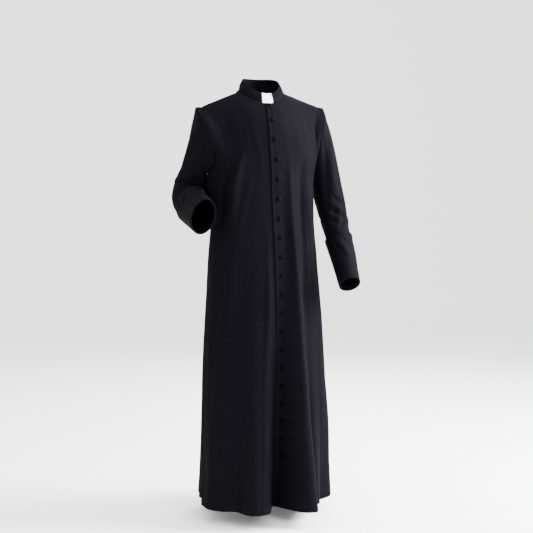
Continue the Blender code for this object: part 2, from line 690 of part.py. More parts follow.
def wall(name, outer, inner, spec, wrap=False, flip=False, choose_from=0):
    """A closed wall between two grids of points, rows first; wrap joins the last column to the first.
    Both faces are cut into triangles the same way, so that they stay parallel: from row choose_from
    on, along the other diagonal where that is much shorter."""
    rows, columns = outer.shape[:2]
    flat = outer.reshape(-1, 3)
    points = np.concatenate([outer.reshape(-1, 3), inner.reshape(-1, 3)])
    half = rows * columns
    faces = []
    for r in range(rows - 1):
        for c in range(columns if wrap else columns - 1):
            d = (c + 1) % columns
            corners = r * columns + c, r * columns + d, (r + 1) * columns + d, (r + 1) * columns + c
            first, other = (
                float(np.linalg.norm(flat[corners[k]] - flat[corners[k + 2]])) for k in (0, 1)
            )
            swap = r >= choose_from and other < OTHER_DIAGONAL * first
            faces += cell(*corners, flip=flip, swap=swap)
            faces += cell(*(k + half for k in corners), flip=not flip, swap=swap)
    low = list(range(columns)) + ([0] if wrap else [])
    top = [(rows - 1) * columns + c for c in low]
    edges = [low, top[::-1]]
    if not wrap:
        edges.append([r * columns for r in range(rows)][::-1])
        edges.append([r * columns + columns - 1 for r in range(rows)])
    for line in edges:
        for a, b in zip(line[:-1], line[1:]):
            faces += cell(b, a, a + half, b + half, flip=flip)
    return add_object(name, points, faces, spec)


def levels():
    """The rows of a body panel, from the hem to the top seams, which they come closer together to."""
    low = np.linspace(0, 1, SKIRT_ROWS + 1)
    high = np.linspace(0, 1, CHEST_ROWS + 1)[1:]
    return np.concatenate([low, 1 + high * (1.35 - 0.35 * high)])


def side_angles():
    """The panel angles from the neck's corner out to the side seam."""
    seam = np.linspace(NECK_CORNER, SHOULDER_CORNER, SEAM_CELLS + 1)
    round_table, angle_table = armhole_table()
    armhole = np.interp(180 * np.arange(1, ARMHOLE_CELLS + 1) / ARMHOLE_CELLS, round_table, angle_table)
    return np.concatenate([seam, armhole])


def trimmed(angle, trim_first, trim_last):
    """The grid of angles with its first and last columns drawn in by half a seam."""
    half_seam = np.degrees(SEAM / 2 / 0.19)
    angle = angle.copy()
    angle[:, 0] += half_seam * trim_first
    angle[:, -1] -= half_seam * trim_last
    return angle


def body_wall(name, angle, surface, lift):
    """A body panel over a grid of panel angles, whose rows are the body's levels."""
    level = levels()[:, None] + 0 * angle
    safe = np.clip(level, 3 * NUDGE, 2 - 3 * NUDGE)
    outer = surface(angle, level)
    normal = slope_normal(surface, angle, safe, 0.02, NUDGE)
    beside = slope_normal(surface, across_shoulder(angle), safe, 0.02, NUDGE)
    inner = outer - CLOTH * shared_at_side(normal, beside, angle)
    outer[-1], inner[-1] = top_rim(angle[-1], lift(angle[-1], level[-1]))
    return wall(name, outer, inner, BLACK_WOOL, choose_from=SKIRT_ROWS)


def front_columns(left):
    """Panel angles across one front, from its edge past the centre line out to its side seam. Both
    fronts have columns at the left one's edge, on the centre line and at the underlap's edge."""
    level = levels()[:, None]
    under = front_angle(underlap(level), level)
    edge = front_angle(front_edge(level), level)
    inner = under + (NECK_CORNER - under) * np.linspace(0, 1, NECK_CELLS + 1)[1:]
    outer = np.broadcast_to(side_angles()[1:], (len(level), len(side_angles()) - 1))
    if left:
        return np.concatenate([-edge, 0 * edge, under, inner, outer], axis=1)
    return -np.concatenate([-under, 0 * edge, edge, under, inner, outer], axis=1)[:, ::-1]


def wrapped_body(angle, level):
    return body_point((np.asarray(angle) + 180) % 360 - 180, level)


def no_lift(angle, level):
    return 0 * angle


def make_body():
    left = body_wall(
        "front_left", trimmed(front_columns(True), 0, 1), left_front_point, overlap_lift
    )
    body_wall("front_right", trimmed(front_columns(False), 1, 0), body_point, no_lift)
    neck = 180 - np.linspace(0, NECK_CORNER, BACK_NECK_CELLS + 1)
    half = np.concatenate([180 - side_angles()[::-1], neck[::-1][1:]])
    round_back = np.concatenate([half, (360 - half)[::-1][1:]])
    back = trimmed(np.tile(round_back, (len(levels()), 1)), 1, 1)
    body_wall("back", (back + 180) % 360 - 180, wrapped_body, no_lift)
    return left


def sleeve_round():
    """The angles round the sleeves of the points that meet the panels' columns."""
    front = side_angles()[SEAM_CELLS:]
    round_table, angle_table = armhole_table()
    return np.interp(np.concatenate([front[:-1], 180 - front[:0:-1]]), angle_table, round_table)


def cuff_ways(name):
    """The sleeve's rows beneath the cuff, from its upper edge to the sleeve's end."""
    long = arm_frame(ARMS[name])["long"]
    return np.linspace(long - CUFF_LONG, long, CUFF_CELLS + 1)


def make_sleeve(name):
    long = arm_frame(ARMS[name])["long"]
    round_it = sleeve_round()[None]
    upper = np.linspace(0, long - CUFF_LONG, ARM_CELLS + 1)[1:-1]
    cap = np.array(CAP_ROWS)
    along = np.concatenate([cap, 1 + np.concatenate([upper, cuff_ways(name)]) / long])[:, None]
    outer = sleeve_point(name, round_it, along)
    inner = outer - CLOTH * sleeve_normal(name, round_it, along)
    outer[0], inner[0] = sleeve_rim(name, round_it[0])
    flip = ARMS[name]["side"] < 0
    below = len(outer)  # the tube keeps one diagonal, so that the cuff can lie on it
    wall(f"sleeve_{name}", outer, inner, BLACK_WOOL, wrap=True, flip=flip, choose_from=below)


def cuff_profile():
    """The cuff's section: how far from the sleeve's end and how far out from the sleeve's face, from
    the loose upper edge down the outside, round the fold, and back up inside."""
    share = np.linspace(1, 0, CUFF_CELLS + 1)
    stand = LIFT + (CUFF_STAND - LIFT) * share**2
    outside = [(CUFF_LONG * k, high + CUFF_CLOTH) for k, high in zip(share, stand)]
    fold = [(-0.0022, LIFT + 0.0012), (-0.0030, -0.0004), (-0.0022, -CLOTH), (-LIFT, -CLOTH)]
    inside = [(CUFF_LONG * k, high) for k, high in zip(share[::-1], stand[::-1])]
    return outside + fold + [(-LIFT, LIFT)] + inside[1:], len(outside) + len(fold)


def make_cuff(name):
    """The section carried round the sleeve, as a closed ring."""
    frame = arm_frame(ARMS[name])
    round_it = sleeve_round()
    _, end_way, _ = arm_place(frame, frame["long"])
    profile, inside_from = cuff_profile()
    loops = []
    for back, out in profile:
        way = np.full_like(round_it, frame["long"] - max(back, 0.0))
        loops.append(sleeve_tube(name, round_it, way, out) + end_way * max(-back, 0.0))
    points = np.array(loops)
    rows, columns = points.shape[:2]
    flip = ARMS[name]["side"] < 0
    faces = []
    for r in range(rows):
        low, high = r * columns, (r + 1) % rows * columns
        for c in range(columns):
            d = (c + 1) % columns
            swap = r >= inside_from  # so that it lies on the sleeve with the same triangles
            faces += cell(low + c, low + d, high + d, high + c, flip=flip, swap=swap)
    add_object(f"cuff_{name}", points.reshape(-1, 3), faces, BLACK_WOOL)


def make_collar():
    # Its columns stand on the panels' columns.
    front = front_columns(True)[-1, 2 : 3 + NECK_CELLS] * 90 / NECK_CORNER
    back = 90 + 90 * np.arange(1, BACK_NECK_CELLS + 1) / BACK_NECK_CELLS
    half_ring = np.concatenate([front, back])
    angle = np.concatenate([half_ring, 360 - half_ring[::-1][1:]])[None, :]
    angle, rise = np.broadcast_arrays(angle, np.linspace(0, 1, COLLAR_ROWS + 1)[:, None])
    outer = collar_point(angle, rise)
    inner = outer - COLLAR_CLOTH * collar_normal(angle, rise)
    # The foot is cut on the plane halfway between the collar and the body.
    turned = (angle[0] + 180) % 360 - 180
    forward = np.where(np.abs(turned) > 90, 180 - np.abs(turned), np.abs(turned))
    panel = forward * NECK_CORNER / 90
    panel = np.where(np.abs(turned) > 90, 180 - panel, panel) * np.sign(turned)
    own = collar_normal(angle[0], rise[0])
    middle = unit(own + body_normal(panel, np.full_like(panel, 2.0)))
    edge = neck_point(angle[0] + 0.1) - neck_point(angle[0] - 0.1)
    cut = unit(np.cross(middle, unit(edge)))
    cut = cut * np.sign(cut[..., 2:])
    stretch = middle / np.maximum(np.sum(middle * own, axis=-1, keepdims=True), MITRE_LIMIT)
    outer[0] = outer[0] + SEAM * cut
    inner[0] = outer[0] - COLLAR_CLOTH * stretch
    wall("collar", outer, inner, BLACK_WOOL)


def make_tab():
    """The white strip in the collar's gap. It stands inside the collar, and its foot is behind the
    fronts' upper edge."""
    reach = np.degrees((TAB_WIDE / 2 + TAB_HIDDEN) / NECK_HALF)
    angle = np.linspace(-reach, reach, TAB_CELLS + 1)[None, :]
    angle, rise = np.broadcast_arrays(angle, np.array([-0.10, 0.45, 0.985])[:, None])
    face = -COLLAR_CLOTH - 2 * LIFT
    outer = collar_point(angle, rise, face)
    inner = collar_point(angle, rise, face - TAB_THICK)
    wall("collar_tab", outer, inner, WHITE_TAB)


# ---------------------------------------------------------------- buttons
def button_places():
    """Levels down the centre front where the buttons sit."""
    level = np.linspace(2, 0, 600)
    line = body_point(np.zeros_like(level), level)
    far = np.concatenate([[0], np.cumsum(np.linalg.norm(np.diff(line, axis=0), axis=1))])
    steps = np.linspace(BUTTON_STEP_TOP, BUTTON_STEP_LOW, BUTTONS - 2)
    down = np.concatenate([[FIRST_BUTTON, SECOND_BUTTON], SECOND_BUTTON + np.cumsum(steps)])
    return np.interp(down, far, level)


def button_seat(level, front):
    """The middle of a button's foot and its axes: just clear of the cloth under the whole button."""
    at = left_front_point(np.array(0.0), np.array(level))
    out = slope_normal(left_front_point, np.array(0.0), np.array(level), 0.02, NUDGE)
    side = unit(np.cross(np.array([0.0, 0.0, 1.0]), out))
    up = np.cross(out, side)
    high = []
    for turn in np.radians(np.arange(0, 360, 30)):
        for radius in (0.0, 0.5 * BUTTON_R, BUTTON_R):
            spot = at + radius * (np.cos(turn) * side + np.sin(turn) * up)
            hit, _, _, _ = front.ray_cast(tuple(spot + 0.03 * out), tuple(-out), 0.06)
            if hit is not None:
                high.append(float((np.array(hit) - at) @ out))
    return at + out * (max(high) + SEAM), out, side, up


def make_buttons(front_left):
    depsgraph = bpy.context.evaluated_depsgraph_get()
    front = BVHTree.FromObject(front_left, depsgraph)
    turn = np.linspace(0, 2 * np.pi, BUTTON_SIDES, endpoint=False)
    for n, level in enumerate(button_places()):
        foot, out, side, up = button_seat(level, front)
        ring = np.cos(turn)[:, None] * side + np.sin(turn)[:, None] * up
        points = [foot]
        for radius, high in BUTTON_PROFILE:
            points += list(foot + out * high * BUTTON_HIGH + ring * radius * BUTTON_R)
        points.append(foot + out * BUTTON_HIGH)
        faces = []
        for k in range(BUTTON_SIDES):
            j = (k + 1) % BUTTON_SIDES
            faces.append((0, 1 + j, 1 + k))
            for band in range(len(BUTTON_PROFILE) - 1):
                a, b = 1 + band * BUTTON_SIDES, 1 + (band + 1) * BUTTON_SIDES
                faces.append((a + k, a + j, b + j, b + k))
            top = 1 + (len(BUTTON_PROFILE) - 1) * BUTTON_SIDES
            faces.append((top + k, top + j, len(points) - 1))
        add_object(f"button_{n + 1:02d}", points, faces, BUTTON_CLOTH)


def clear_scene():
    for obj in list(bpy.data.objects):
        bpy.data.objects.remove(obj, do_unlink=True)


def main():
    clear_scene()
    bpy.context.scene.unit_settings.system = "METRIC"
    front_left = make_body()
    for name in ARMS:
        make_sleeve(name)
        make_cuff(name)
    make_collar()
    make_tab()
    make_buttons(front_left)


main()
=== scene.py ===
"""The looks of a long black cassock: fine cloth shells on the panels' own form, their creases, the
sewing, the buttons and the white collar tab, with a plain studio stage.

Metres, +Z up. The garment faces -Y, so +X is the wearer's left, and the origin is the middle of the
neck seam. The shapes follow the same rules and tables as the solids that they stand for.
"""

import math

import bpy
import mathutils
import numpy as np
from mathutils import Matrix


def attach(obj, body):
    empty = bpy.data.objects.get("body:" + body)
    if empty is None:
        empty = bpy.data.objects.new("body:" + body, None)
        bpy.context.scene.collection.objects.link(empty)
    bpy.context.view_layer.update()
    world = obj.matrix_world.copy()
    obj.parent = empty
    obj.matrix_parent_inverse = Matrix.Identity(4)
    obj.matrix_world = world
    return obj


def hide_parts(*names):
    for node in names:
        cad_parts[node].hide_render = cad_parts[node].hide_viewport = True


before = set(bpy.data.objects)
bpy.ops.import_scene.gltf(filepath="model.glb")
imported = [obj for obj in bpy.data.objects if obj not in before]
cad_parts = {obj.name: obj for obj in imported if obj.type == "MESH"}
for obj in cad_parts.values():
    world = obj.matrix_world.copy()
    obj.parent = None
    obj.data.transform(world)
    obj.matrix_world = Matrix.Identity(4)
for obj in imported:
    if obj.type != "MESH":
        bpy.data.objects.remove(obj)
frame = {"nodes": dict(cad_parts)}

bl_info = {
    "name": "Cassock finish",
    "version": (1, 0, 0),
    "blender": (4, 5, 0),
    "location": "View3D > Sidebar > Cassock",
    "description": "Makes the cloth, sewing, buttons and stage of a long buttoned cassock",
    "category": "Object",
}

# ---------------------------------------------------------------- cloth
CLOTH = 0.0020  # body and sleeves
COLLAR_CLOTH = 0.0025
CUFF_CLOTH = 0.0025
TAB_THICK = 0.0010
LIFT = 0.0004  # between two layers that lie on each other

# ---------------------------------------------------------------- sewing
EDGE_STITCH = 0.0085  # the stitched line's distance from an edge
EDGE_LINE = (0.003, 1.985)  # the levels where the front edge's line starts and stops
COLLAR_LINE_START = 3  # degrees past the collar's end
CUFF_STITCH = 0.008  # the line's distance from the cuff's upper edge
CUFF_LINE_STAND = 0.93  # how much of the cuff's stand is left there
LINE_SAMPLES = {  # places that a line is first measured at
    "edge": 1500,
    "collar": 800,
    "cuff": 400,
}
STITCH_LONG = 0.0030
STITCH_WIDE = 0.00055
STITCH_FLAT = 0.7  # its thickness, as a share of its width
STITCH_LIFT = 0.00035  # how far its middle stands above its ends
STITCH_CLEAR = 0.0001  # between its middle line's ends and the cloth
STITCH_RINGS = ((-0.5, 0.25), (-0.22, 1.0), (0.22, 1.0), (0.5, 0.25))  # place on the length, size
STITCH_SIDES = 6
HOLE_LONG = 0.0170  # a buttonhole's length, and half its width
HOLE_WIDE = 0.0016
HOLE_START = 0.0035  # how far from the button's middle it starts
HOLE_SAMPLES = 72
HOLE_SIDES = 8
HOLE_CORD = 0.00055  # half the thickness of its worked edge, how uneven that is, and how quickly
HOLE_UNEVEN = 0.25
HOLE_BEAT = 2.1
HOLE_FLAT = 0.8  # the edge's height, as a share of its width

# ---------------------------------------------------------------- stage
STUDIO_LIGHTS = [  # name, right of the camera's line, towards the camera, height, watts, size, colour
    ("key", 2.9, 0.0, 0.75, 760.0, 1.5, (1.0, 0.99, 0.98)),
    ("fill", 1.5, 2.9, 0.5, 70.0, 1.2, (0.95, 0.97, 1.0)),
    ("top", 0.2, 0.3, 2.2, 110.0, 2.2, (1.0, 1.0, 1.0)),
    ("behind", 0.5, -3.0, 1.1, 130.0, 1.8, (0.97, 0.98, 1.0)),
]
LIGHTS_AIM_Z = -0.7
WORLD_LIGHT = 2.2
CAMERA_Z = -0.46
VIEW_ASIDE = 0.0175  # the camera aims here, beside the origin and below it
VIEW_Z = -0.612
SENSOR_WIDE = 36.0  # millimetres
FLOOR_NEAR = -9.0  # the floor's near end, past the camera
WALL_AT = 6.0  # where the floor starts to bend up, how tightly, and how high the wall is
WALL_BEND = 2.5
WALL_HIGH = 9.0
FLOOR_SIDE = 14.0  # how far it runs to either side
BEND_STEPS = 24
FLOOR_COLUMNS = 8

# ---------------------------------------------------------------- lengths
HEM_Z = -1.432  # 1.43 m from the neck seam down to the hem
CHEST_Z = -0.330  # below here the body is a stack of sections, above it hangs from its seams
COLLAR_HIGH = 0.036
TAB_WIDE = 0.043
TAB_HIDDEN = 0.012  # how far the tab runs on behind each end of the collar
CUFF_LONG = 0.178
EDGE_AT_NECK = 0.012  # the left front's edge, past the centre line
EDGE_BELOW = 0.022
EDGE_FULL_Z = -0.25  # from here down the edge has its full width
UNDERLAP = 0.030  # the right front runs on this far beneath the left; at the neck, to the collar's end
EASE_START = 0.004  # this far past the underlap the left front starts to come back to the body
EASE = 0.040  # and this is the width that it takes
BUTTON_R = 0.0075
BUTTON_HIGH = 0.0050
BUTTON_CLEAR = 0.0002  # between its back and the cloth
BUTTONS = 20
FIRST_BUTTON = 0.010  # down the front from the neck seam
SECOND_BUTTON = 0.068
BUTTON_STEP_TOP = 0.0685  # the steps shorten a little on the way down
BUTTON_STEP_LOW = 0.0590

# ---------------------------------------------------------------- the body's sections
# Half width, depth in front and behind, the middle's place, how square the section is, and how far
# round the panels turn, in degrees.
SECTION_COLUMNS = ("z", "half_width", "front", "back", "mid_x", "mid_y", "square", "turn")
SECTIONS = [
    (-0.330, 0.185, 0.126, 0.116, 0.000, 0.000, 0.12, 4.0),
    (-0.400, 0.186, 0.127, 0.112, 0.000, 0.000, 0.12, 4.5),
    (-0.484, 0.186, 0.130, 0.114, 0.003, 0.000, 0.11, 4.8),
    (-0.560, 0.192, 0.138, 0.122, 0.003, 0.000, 0.10, 4.8),
    (-0.730, 0.2005, 0.154, 0.144, 0.003, 0.000, 0.08, 5.0),
    (-0.905, 0.2115, 0.170, 0.163, 0.000, 0.000, 0.06, 5.5),
    (-1.080, 0.2205, 0.184, 0.180, 0.001, 0.000, 0.05, 6.0),
    (-1.256, 0.2275, 0.196, 0.194, 0.002, 0.000, 0.04, 6.5),
    (-1.440, 0.2340, 0.206, 0.206, 0.004, 0.000, 0.03, 7.0),
]

# ---------------------------------------------------------------- the body's folds
# Angles are round the body from the centre front, in degrees, and plus is the wearer's left. A fold
# with fade 0 grows down to the hem; one with fade 1 dies away at both ends.
FOLD_COLUMNS = (
    "top_z", "low_z", "top_angle", "low_angle", "top_half", "low_half", "depth", "grow", "fade",
)
FOLDS = {
    "right lobe": (-0.62, HEM_Z, -30, -31, 14, 17, 0.030, 1.3, 0),
    "front valley": (-0.60, HEM_Z, -3, -6, 10, 15, -0.105, 1.5, 0),
    "left lobe": (-0.24, HEM_Z, 17, 14, 13, 17, 0.058, 1.1, 0),
    "left dip": (-0.45, HEM_Z, 45, 52, 14, 18, -0.034, 1.2, 0),
    "left side flare": (-0.70, HEM_Z, 78, 80, 12, 16, 0.016, 1.3, 0),
    "right soft dip": (-0.70, HEM_Z, -52, -50, 10, 12, -0.014, 1.3, 0),
    "right side flare": (-0.75, HEM_Z, -78, -74, 12, 14, 0.010, 1.3, 0),
    "right back dip": (-0.60, HEM_Z, -112, -108, 14, 18, -0.030, 1.3, 0),
    "right back flare": (-0.50, HEM_Z, -144, -146, 15, 18, 0.034, 1.2, 0),
    "back dip": (-0.50, HEM_Z, 180, 180, 15, 21, -0.046, 1.3, 0),
    "left back flare": (-0.50, HEM_Z, 142, 142, 15, 19, 0.040, 1.2, 0),
    "left back dip": (-0.60, HEM_Z, 112, 110, 14, 18, -0.030, 1.3, 0),
    "drag to the bent arm": (-0.18, -0.56, -34, -60, 8, 12, 0.009, 1.0, 1),
    "hollow above the drag": (-0.20, -0.58, -54, -80, 9, 12, -0.012, 1.0, 1),
}

# ---------------------------------------------------------------- neck, shoulder and armhole seams
NECK_HALF = 0.0805
NECK_DEEP = 0.072
NECK_MID_Y = 0.002
NECK_RISE = (-0.0105, -0.0315, -0.008)  # height of the neck seam: steady, one wave and two waves round
SHOULDER = (0.218, 0.010, -0.054)  # where the shoulder seam meets the armhole
SEAM_LEAN = (0.45, 0.15)  # how steeply the cloth beside the neck rises to the seam, front and back
SEAM_PULL = 0.35  # how far it leans in to the neck
SEAM_STRENGTH = (1.0, 1.25)
NECK_WAY = ((0.0, 0.6, 0.8), (0.0, -0.3, 0.7))  # how it arrives at the neck's middle, front and back
SHOULDER_WAY = (0.30, 0.50, 0.05)  # and at the shoulder's end, from the front
# The panel angles where the top edge turns from neck to shoulder and from shoulder to armhole.
NECK_CORNER = 24.0
SHOULDER_CORNER = 44.0
# By the panel angle, from the shoulder down the front to the underarm (90) and up the back: the
# armhole's place and the way the cloth arrives there.
ARMHOLE_COLUMNS = ("angle", "x", "y", "z", "to_x", "to_y", "to_z")
ARMHOLE = [
    (44, 0.218, 0.010, -0.054, 0.30, 0.50, 0.05),
    (49, 0.214, -0.030, -0.091, 0.38, 0.28, 0.26),
    (55, 0.202, -0.058, -0.140, 0.34, 0.14, 0.30),
    (62, 0.192, -0.065, -0.198, 0.22, 0.10, 0.46),
    (72, 0.187, -0.046, -0.245, 0.10, 0.08, 0.70),
    (90, 0.189, 0.000, -0.265, 0.05, 0.00, 0.90),
    (108, 0.188, 0.048, -0.245, 0.10, -0.08, 0.70),
    (118, 0.196, 0.074, -0.198, 0.24, -0.12, 0.46),
    (125, 0.210, 0.074, -0.140, 0.36, -0.16, 0.30),
    (131, 0.219, 0.050, -0.091, 0.38, -0.26, 0.26),
    (136, 0.218, 0.010, -0.054, 0.30, -0.50, 0.05),
]
TILT = 0.035  # the left shoulder is held a little higher than the right
PULL = 0.95  # how strongly a column of cloth keeps its way at either end
PAD_HIGH = 0.0075  # the shoulder pad: how far it fills the corner out, and where on the cap
PAD_AT = 0.14
PAD_WIDE = 0.10
# How strongly a sleeve's cap leaves the armhole outwards and down the arm, and arrives at the tube, in
# shares of its length: at the underarm and over the shoulder.
CAP_OUT = (0.18, 0.42)
CAP_DOWN = (0.45, 0.08)
CAP_ARRIVE = (0.75, 1.10)
CAP_BULGE = 0.03
SEAM_STEPS = 120  # places that half an armhole's seam is measured at

# ---------------------------------------------------------------- collar, cuff and button forms
COLLAR_TOP_HALF = 0.0650
COLLAR_TOP_DEEP = 0.0610
COLLAR_TOP_MID_Y = 0.0060
COLLAR_SWELL = 0.0022
CUFF_STAND = 0.0040  # how far the cuff's upper edge stands off the sleeve

# ---------------------------------------------------------------- arms
# start is the middle of the sleeve below the armhole, elbow the corner that its line turns at, and
# twist how far the tube's cloth is turned against the armhole's, in degrees.
ARMS = {
    "left": {
        "side": 1,
        "start": (0.241, 0.003, -0.285),
        "elbow": (0.2735, 0.004, -0.430),
        "end": (0.2765, -0.137, -0.671),
        "bend_r": 0.160,
        "twist": -8,
    },
    "right": {
        "side": -1,
        "start": (-0.2185, 0.097, -0.284),
        "elbow": (-0.2380, 0.1420, -0.3705),
        "end": (-0.2525, -0.1313, -0.4382),
        "bend_r": 0.070,
        "twist": -42,
    },
}
# Half width across the arm's plane and along it, by the share of the way from start to end.
SLEEVE_COLUMNS = ("share", "across", "along")
SLEEVE_SIZES = {
    "left": [
        (0.00, 0.053, 0.070),
        (0.20, 0.052, 0.067),
        (0.37, 0.050, 0.064),
        (0.52, 0.045, 0.061),
        (0.75, 0.040, 0.057),
        (1.00, 0.0355, 0.053),
    ],
    "right": [
        (0.00, 0.0460, 0.061),
        (0.15, 0.0550, 0.060),
        (0.30, 0.0590, 0.061),
        (0.46, 0.0465, 0.062),
        (0.60, 0.0430, 0.062),
        (0.78, 0.0410, 0.061),
        (1.00, 0.0395, 0.059),
    ],
}
# Folds of the sleeves: shares of the way where one starts and stops, its angle round the sleeve (0 is
# outwards, 90 the front), its half width in degrees, and its depth.
SLEEVE_FOLD_COLUMNS = ("top", "low", "top_angle", "low_angle", "half", "depth")
SLEEVE_FOLDS = {
    "left": [
        (0.02, 0.58, 62, 98, 24, -0.007),
        (0.10, 0.66, 20, 50, 22, 0.006),
        (0.05, 0.55, 205, 250, 30, -0.007),
    ],
    "right": [
        (0.00, 0.34, 30, 70, 24, -0.006),
        (0.12, 0.52, 100, 140, 26, 0.005),
        (0.05, 0.60, 300, 260, 30, -0.006),
        (0.00, 0.44, 172, 172, 42, 0.020),
    ],
}

UP = np.array([0.0, 0.0, 1.0])
NUDGE = 1e-4  # the step for measuring a surface's slope along it, and those round it, in degrees
BARE_TURN = 0.01
BODY_TURN = 0.02
COLLAR_TURN = 0.05
SLEEVE_TURN = 0.5
LINE_NUDGE = 0.001  # the steps for standing stitches up on a surface
LINE_TURN = 0.05


def mix(share, first, last):
    """From first to last as share goes from 0 to 1."""
    return first + share * (last - first)


def cubic(t, first, leave, last, arrive):
    """From first to last as t goes from 0 to 1: a cubic that leaves and arrives with given slopes."""
    return (
        (2 * t**3 - 3 * t**2 + 1) * first
        + (t**3 - 2 * t**2 + t) * leave
        + (3 * t**2 - 2 * t**3) * last
        + (t**3 - t**2) * arrive
    )


def smooth(x, xs, ys):
    """A curve through the rows (xs, ys): a cubic in each interval, whose slope at a row is the mean
    slope of the intervals beside it."""
    order = np.argsort(xs)
    xs, ys = xs[order], ys[order]
    step = np.diff(ys) / np.diff(xs)
    slope = np.concatenate([[step[0]], (step[1:] + step[:-1]) / 2, [step[-1]]])
    x = np.clip(x, xs[0], xs[-1])
    i = np.clip(np.searchsorted(xs, x, side="right") - 1, 0, len(xs) - 2)
    wide = xs[i + 1] - xs[i]
    return cubic((x - xs[i]) / wide, ys[i], wide * slope[i], ys[i + 1], wide * slope[i + 1])


def curve(x, columns, rows, name):
    """One column of a table as a smooth curve over the table's first column."""
    at = columns.index(name)
    return smooth(x, *np.array([(row[0], row[at]) for row in rows], float).T)


def step_up(t):
    """0 below 0, 1 above 1, and smooth between."""
    t = np.clip(t, 0, 1)
    return t * t * (3 - 2 * t)


def hump(x):
    """1 at 0, falling to 0 at 1 and -1 as half a cosine wave, and 0 past them."""
    return 0.5 + 0.5 * np.cos(np.pi * np.clip(x, -1, 1))


def bell(x, wide):
    """1 at 0, and falling off to either side as exp(-(x / wide) ** 2)."""
    return np.exp(-((x / wide) ** 2))


def wrap(angle):
    """An angle brought between -180 and 180 degrees."""
    return (angle + 180) % 360 - 180


def unit(v):
    """Vectors brought to length 1."""
    return v / np.linalg.norm(v, axis=-1, keepdims=True)


def stack(x, y, z):
    """Points from their three coordinates."""
    return np.stack(np.broadcast_arrays(x, y, z), axis=-1)


# ---------------------------------------------------------------- the body
def section_point(angle, z):
    """A point of the bare section at height z: an oval with its corners pushed out."""
    a, front, back, mid_x, mid_y, square, turn = (
        curve(z, SECTION_COLUMNS, SECTIONS, name) for name in SECTION_COLUMNS[1:]
    )
    round_it = np.radians(angle + turn)
    s, c = np.sin(round_it), np.cos(round_it)
    deep = np.where(c > 0, front, back)
    return stack(mid_x + a * s * (1 + square * c * c), mid_y - deep * c * (1 + square * s * s), z)


def tilt(x):
    """How much higher the garment is carried at x."""
    return TILT * x * np.abs(x) / SHOULDER[0]


def level_neck(angle):
    """A point of the neck seam before the tilt; angle 0 is the centre front and 90 the side."""
    s, c = np.sin(np.radians(angle)), np.cos(np.radians(angle))
    steady, once, twice = NECK_RISE
    high = steady + once * c + twice * (2 * c * c - 1)
    return stack(NECK_HALF * s, NECK_MID_Y - NECK_DEEP * c, high)


def neck_point(angle):
    """A point of the neck seam."""
    at = level_neck(angle)
    return stack(at[..., 0], at[..., 1], at[..., 2] + tilt(at[..., 0]))


def top_edge(angle):
    """Where the column of cloth at a panel angle ends, on the neck, shoulder or armhole seam, and the
    way it arrives there."""
    angle = wrap(np.asarray(angle, float))
    side = np.where(angle < 0, -1.0, 1.0)
    angle = np.abs(angle)
    behind = angle > 90
    forward = np.where(behind, 180 - angle, angle)
    face = np.where(behind, -1.0, 1.0)

    neck_side, shoulder = level_neck(90.0), np.array(SHOULDER)
    seam_way = unit(shoulder - neck_side)
    lean = np.where(behind, SEAM_LEAN[1], SEAM_LEAN[0])
    strong = np.where(behind, SEAM_STRENGTH[1], SEAM_STRENGTH[0])[..., None]
    across = unit(stack(0 * lean, face, lean))
    corner_way = strong * (across - SEAM_PULL * seam_way)

    round_neck = np.clip(forward / NECK_CORNER, 0, 1)
    neck_at = level_neck(np.where(behind, 180 - 90 * round_neck, 90 * round_neck))
    middle_way = np.where(behind[..., None], np.array(NECK_WAY[1]), np.array(NECK_WAY[0]))
    neck_way = mix(np.cos(np.pi / 2 * round_neck)[..., None], corner_way, middle_way)

    out = np.clip((forward - NECK_CORNER) / (SHOULDER_CORNER - NECK_CORNER), 0, 1)[..., None]
    seam_at = mix(out, neck_side, shoulder)
    seam_far = np.array(SHOULDER_WAY) * stack(1.0, face, 1.0)
    seam_way_here = mix(out, corner_way, seam_far)

    armhole = [curve(angle, ARMHOLE_COLUMNS, ARMHOLE, name) for name in ARMHOLE_COLUMNS[1:]]
    armhole = np.stack(armhole, axis=-1)

    on_neck = (forward <= NECK_CORNER)[..., None]
    on_seam = (forward <= SHOULDER_CORNER)[..., None]
    at = np.where(on_neck, neck_at, np.where(on_seam, seam_at, armhole[..., :3]))
    way = np.where(on_neck, neck_way, np.where(on_seam, seam_way_here, armhole[..., 3:]))
    mirror = np.stack([side, np.ones_like(side), np.ones_like(side)], axis=-1)
    at, way = at * mirror, way * mirror
    at[..., 2] += tilt(at[..., 0])
    return at, way


def level_z(level):
    """The height of a level from the hem (0) to the chest (1)."""
    return mix(np.clip(level, 0, 1), HEM_Z, CHEST_Z)


def bare_body(angle, level):
    """The body before its folds. level runs from 0 at the hem to 1 at the chest, along the sections,
    and on to 2 at the top seams, along a curve that leaves the chest upright and arrives as top_edge
    says."""
    angle, level = np.broadcast_arrays(np.asarray(angle, float), np.asarray(level, float))
    low = section_point(angle, level_z(level))
    chest = section_point(angle, np.full_like(angle, CHEST_Z))
    under = section_point(angle, np.full_like(angle, CHEST_Z - 0.01))
    end, arrive = top_edge(angle)
    t = np.clip(level - 1, 0, 1)[..., None]
    reach = np.linalg.norm(end - chest, axis=-1, keepdims=True) * PULL
    high = cubic(t, chest, reach * unit(chest - under), end, reach * arrive)
    return np.where(level[..., None] <= 1, low, high)


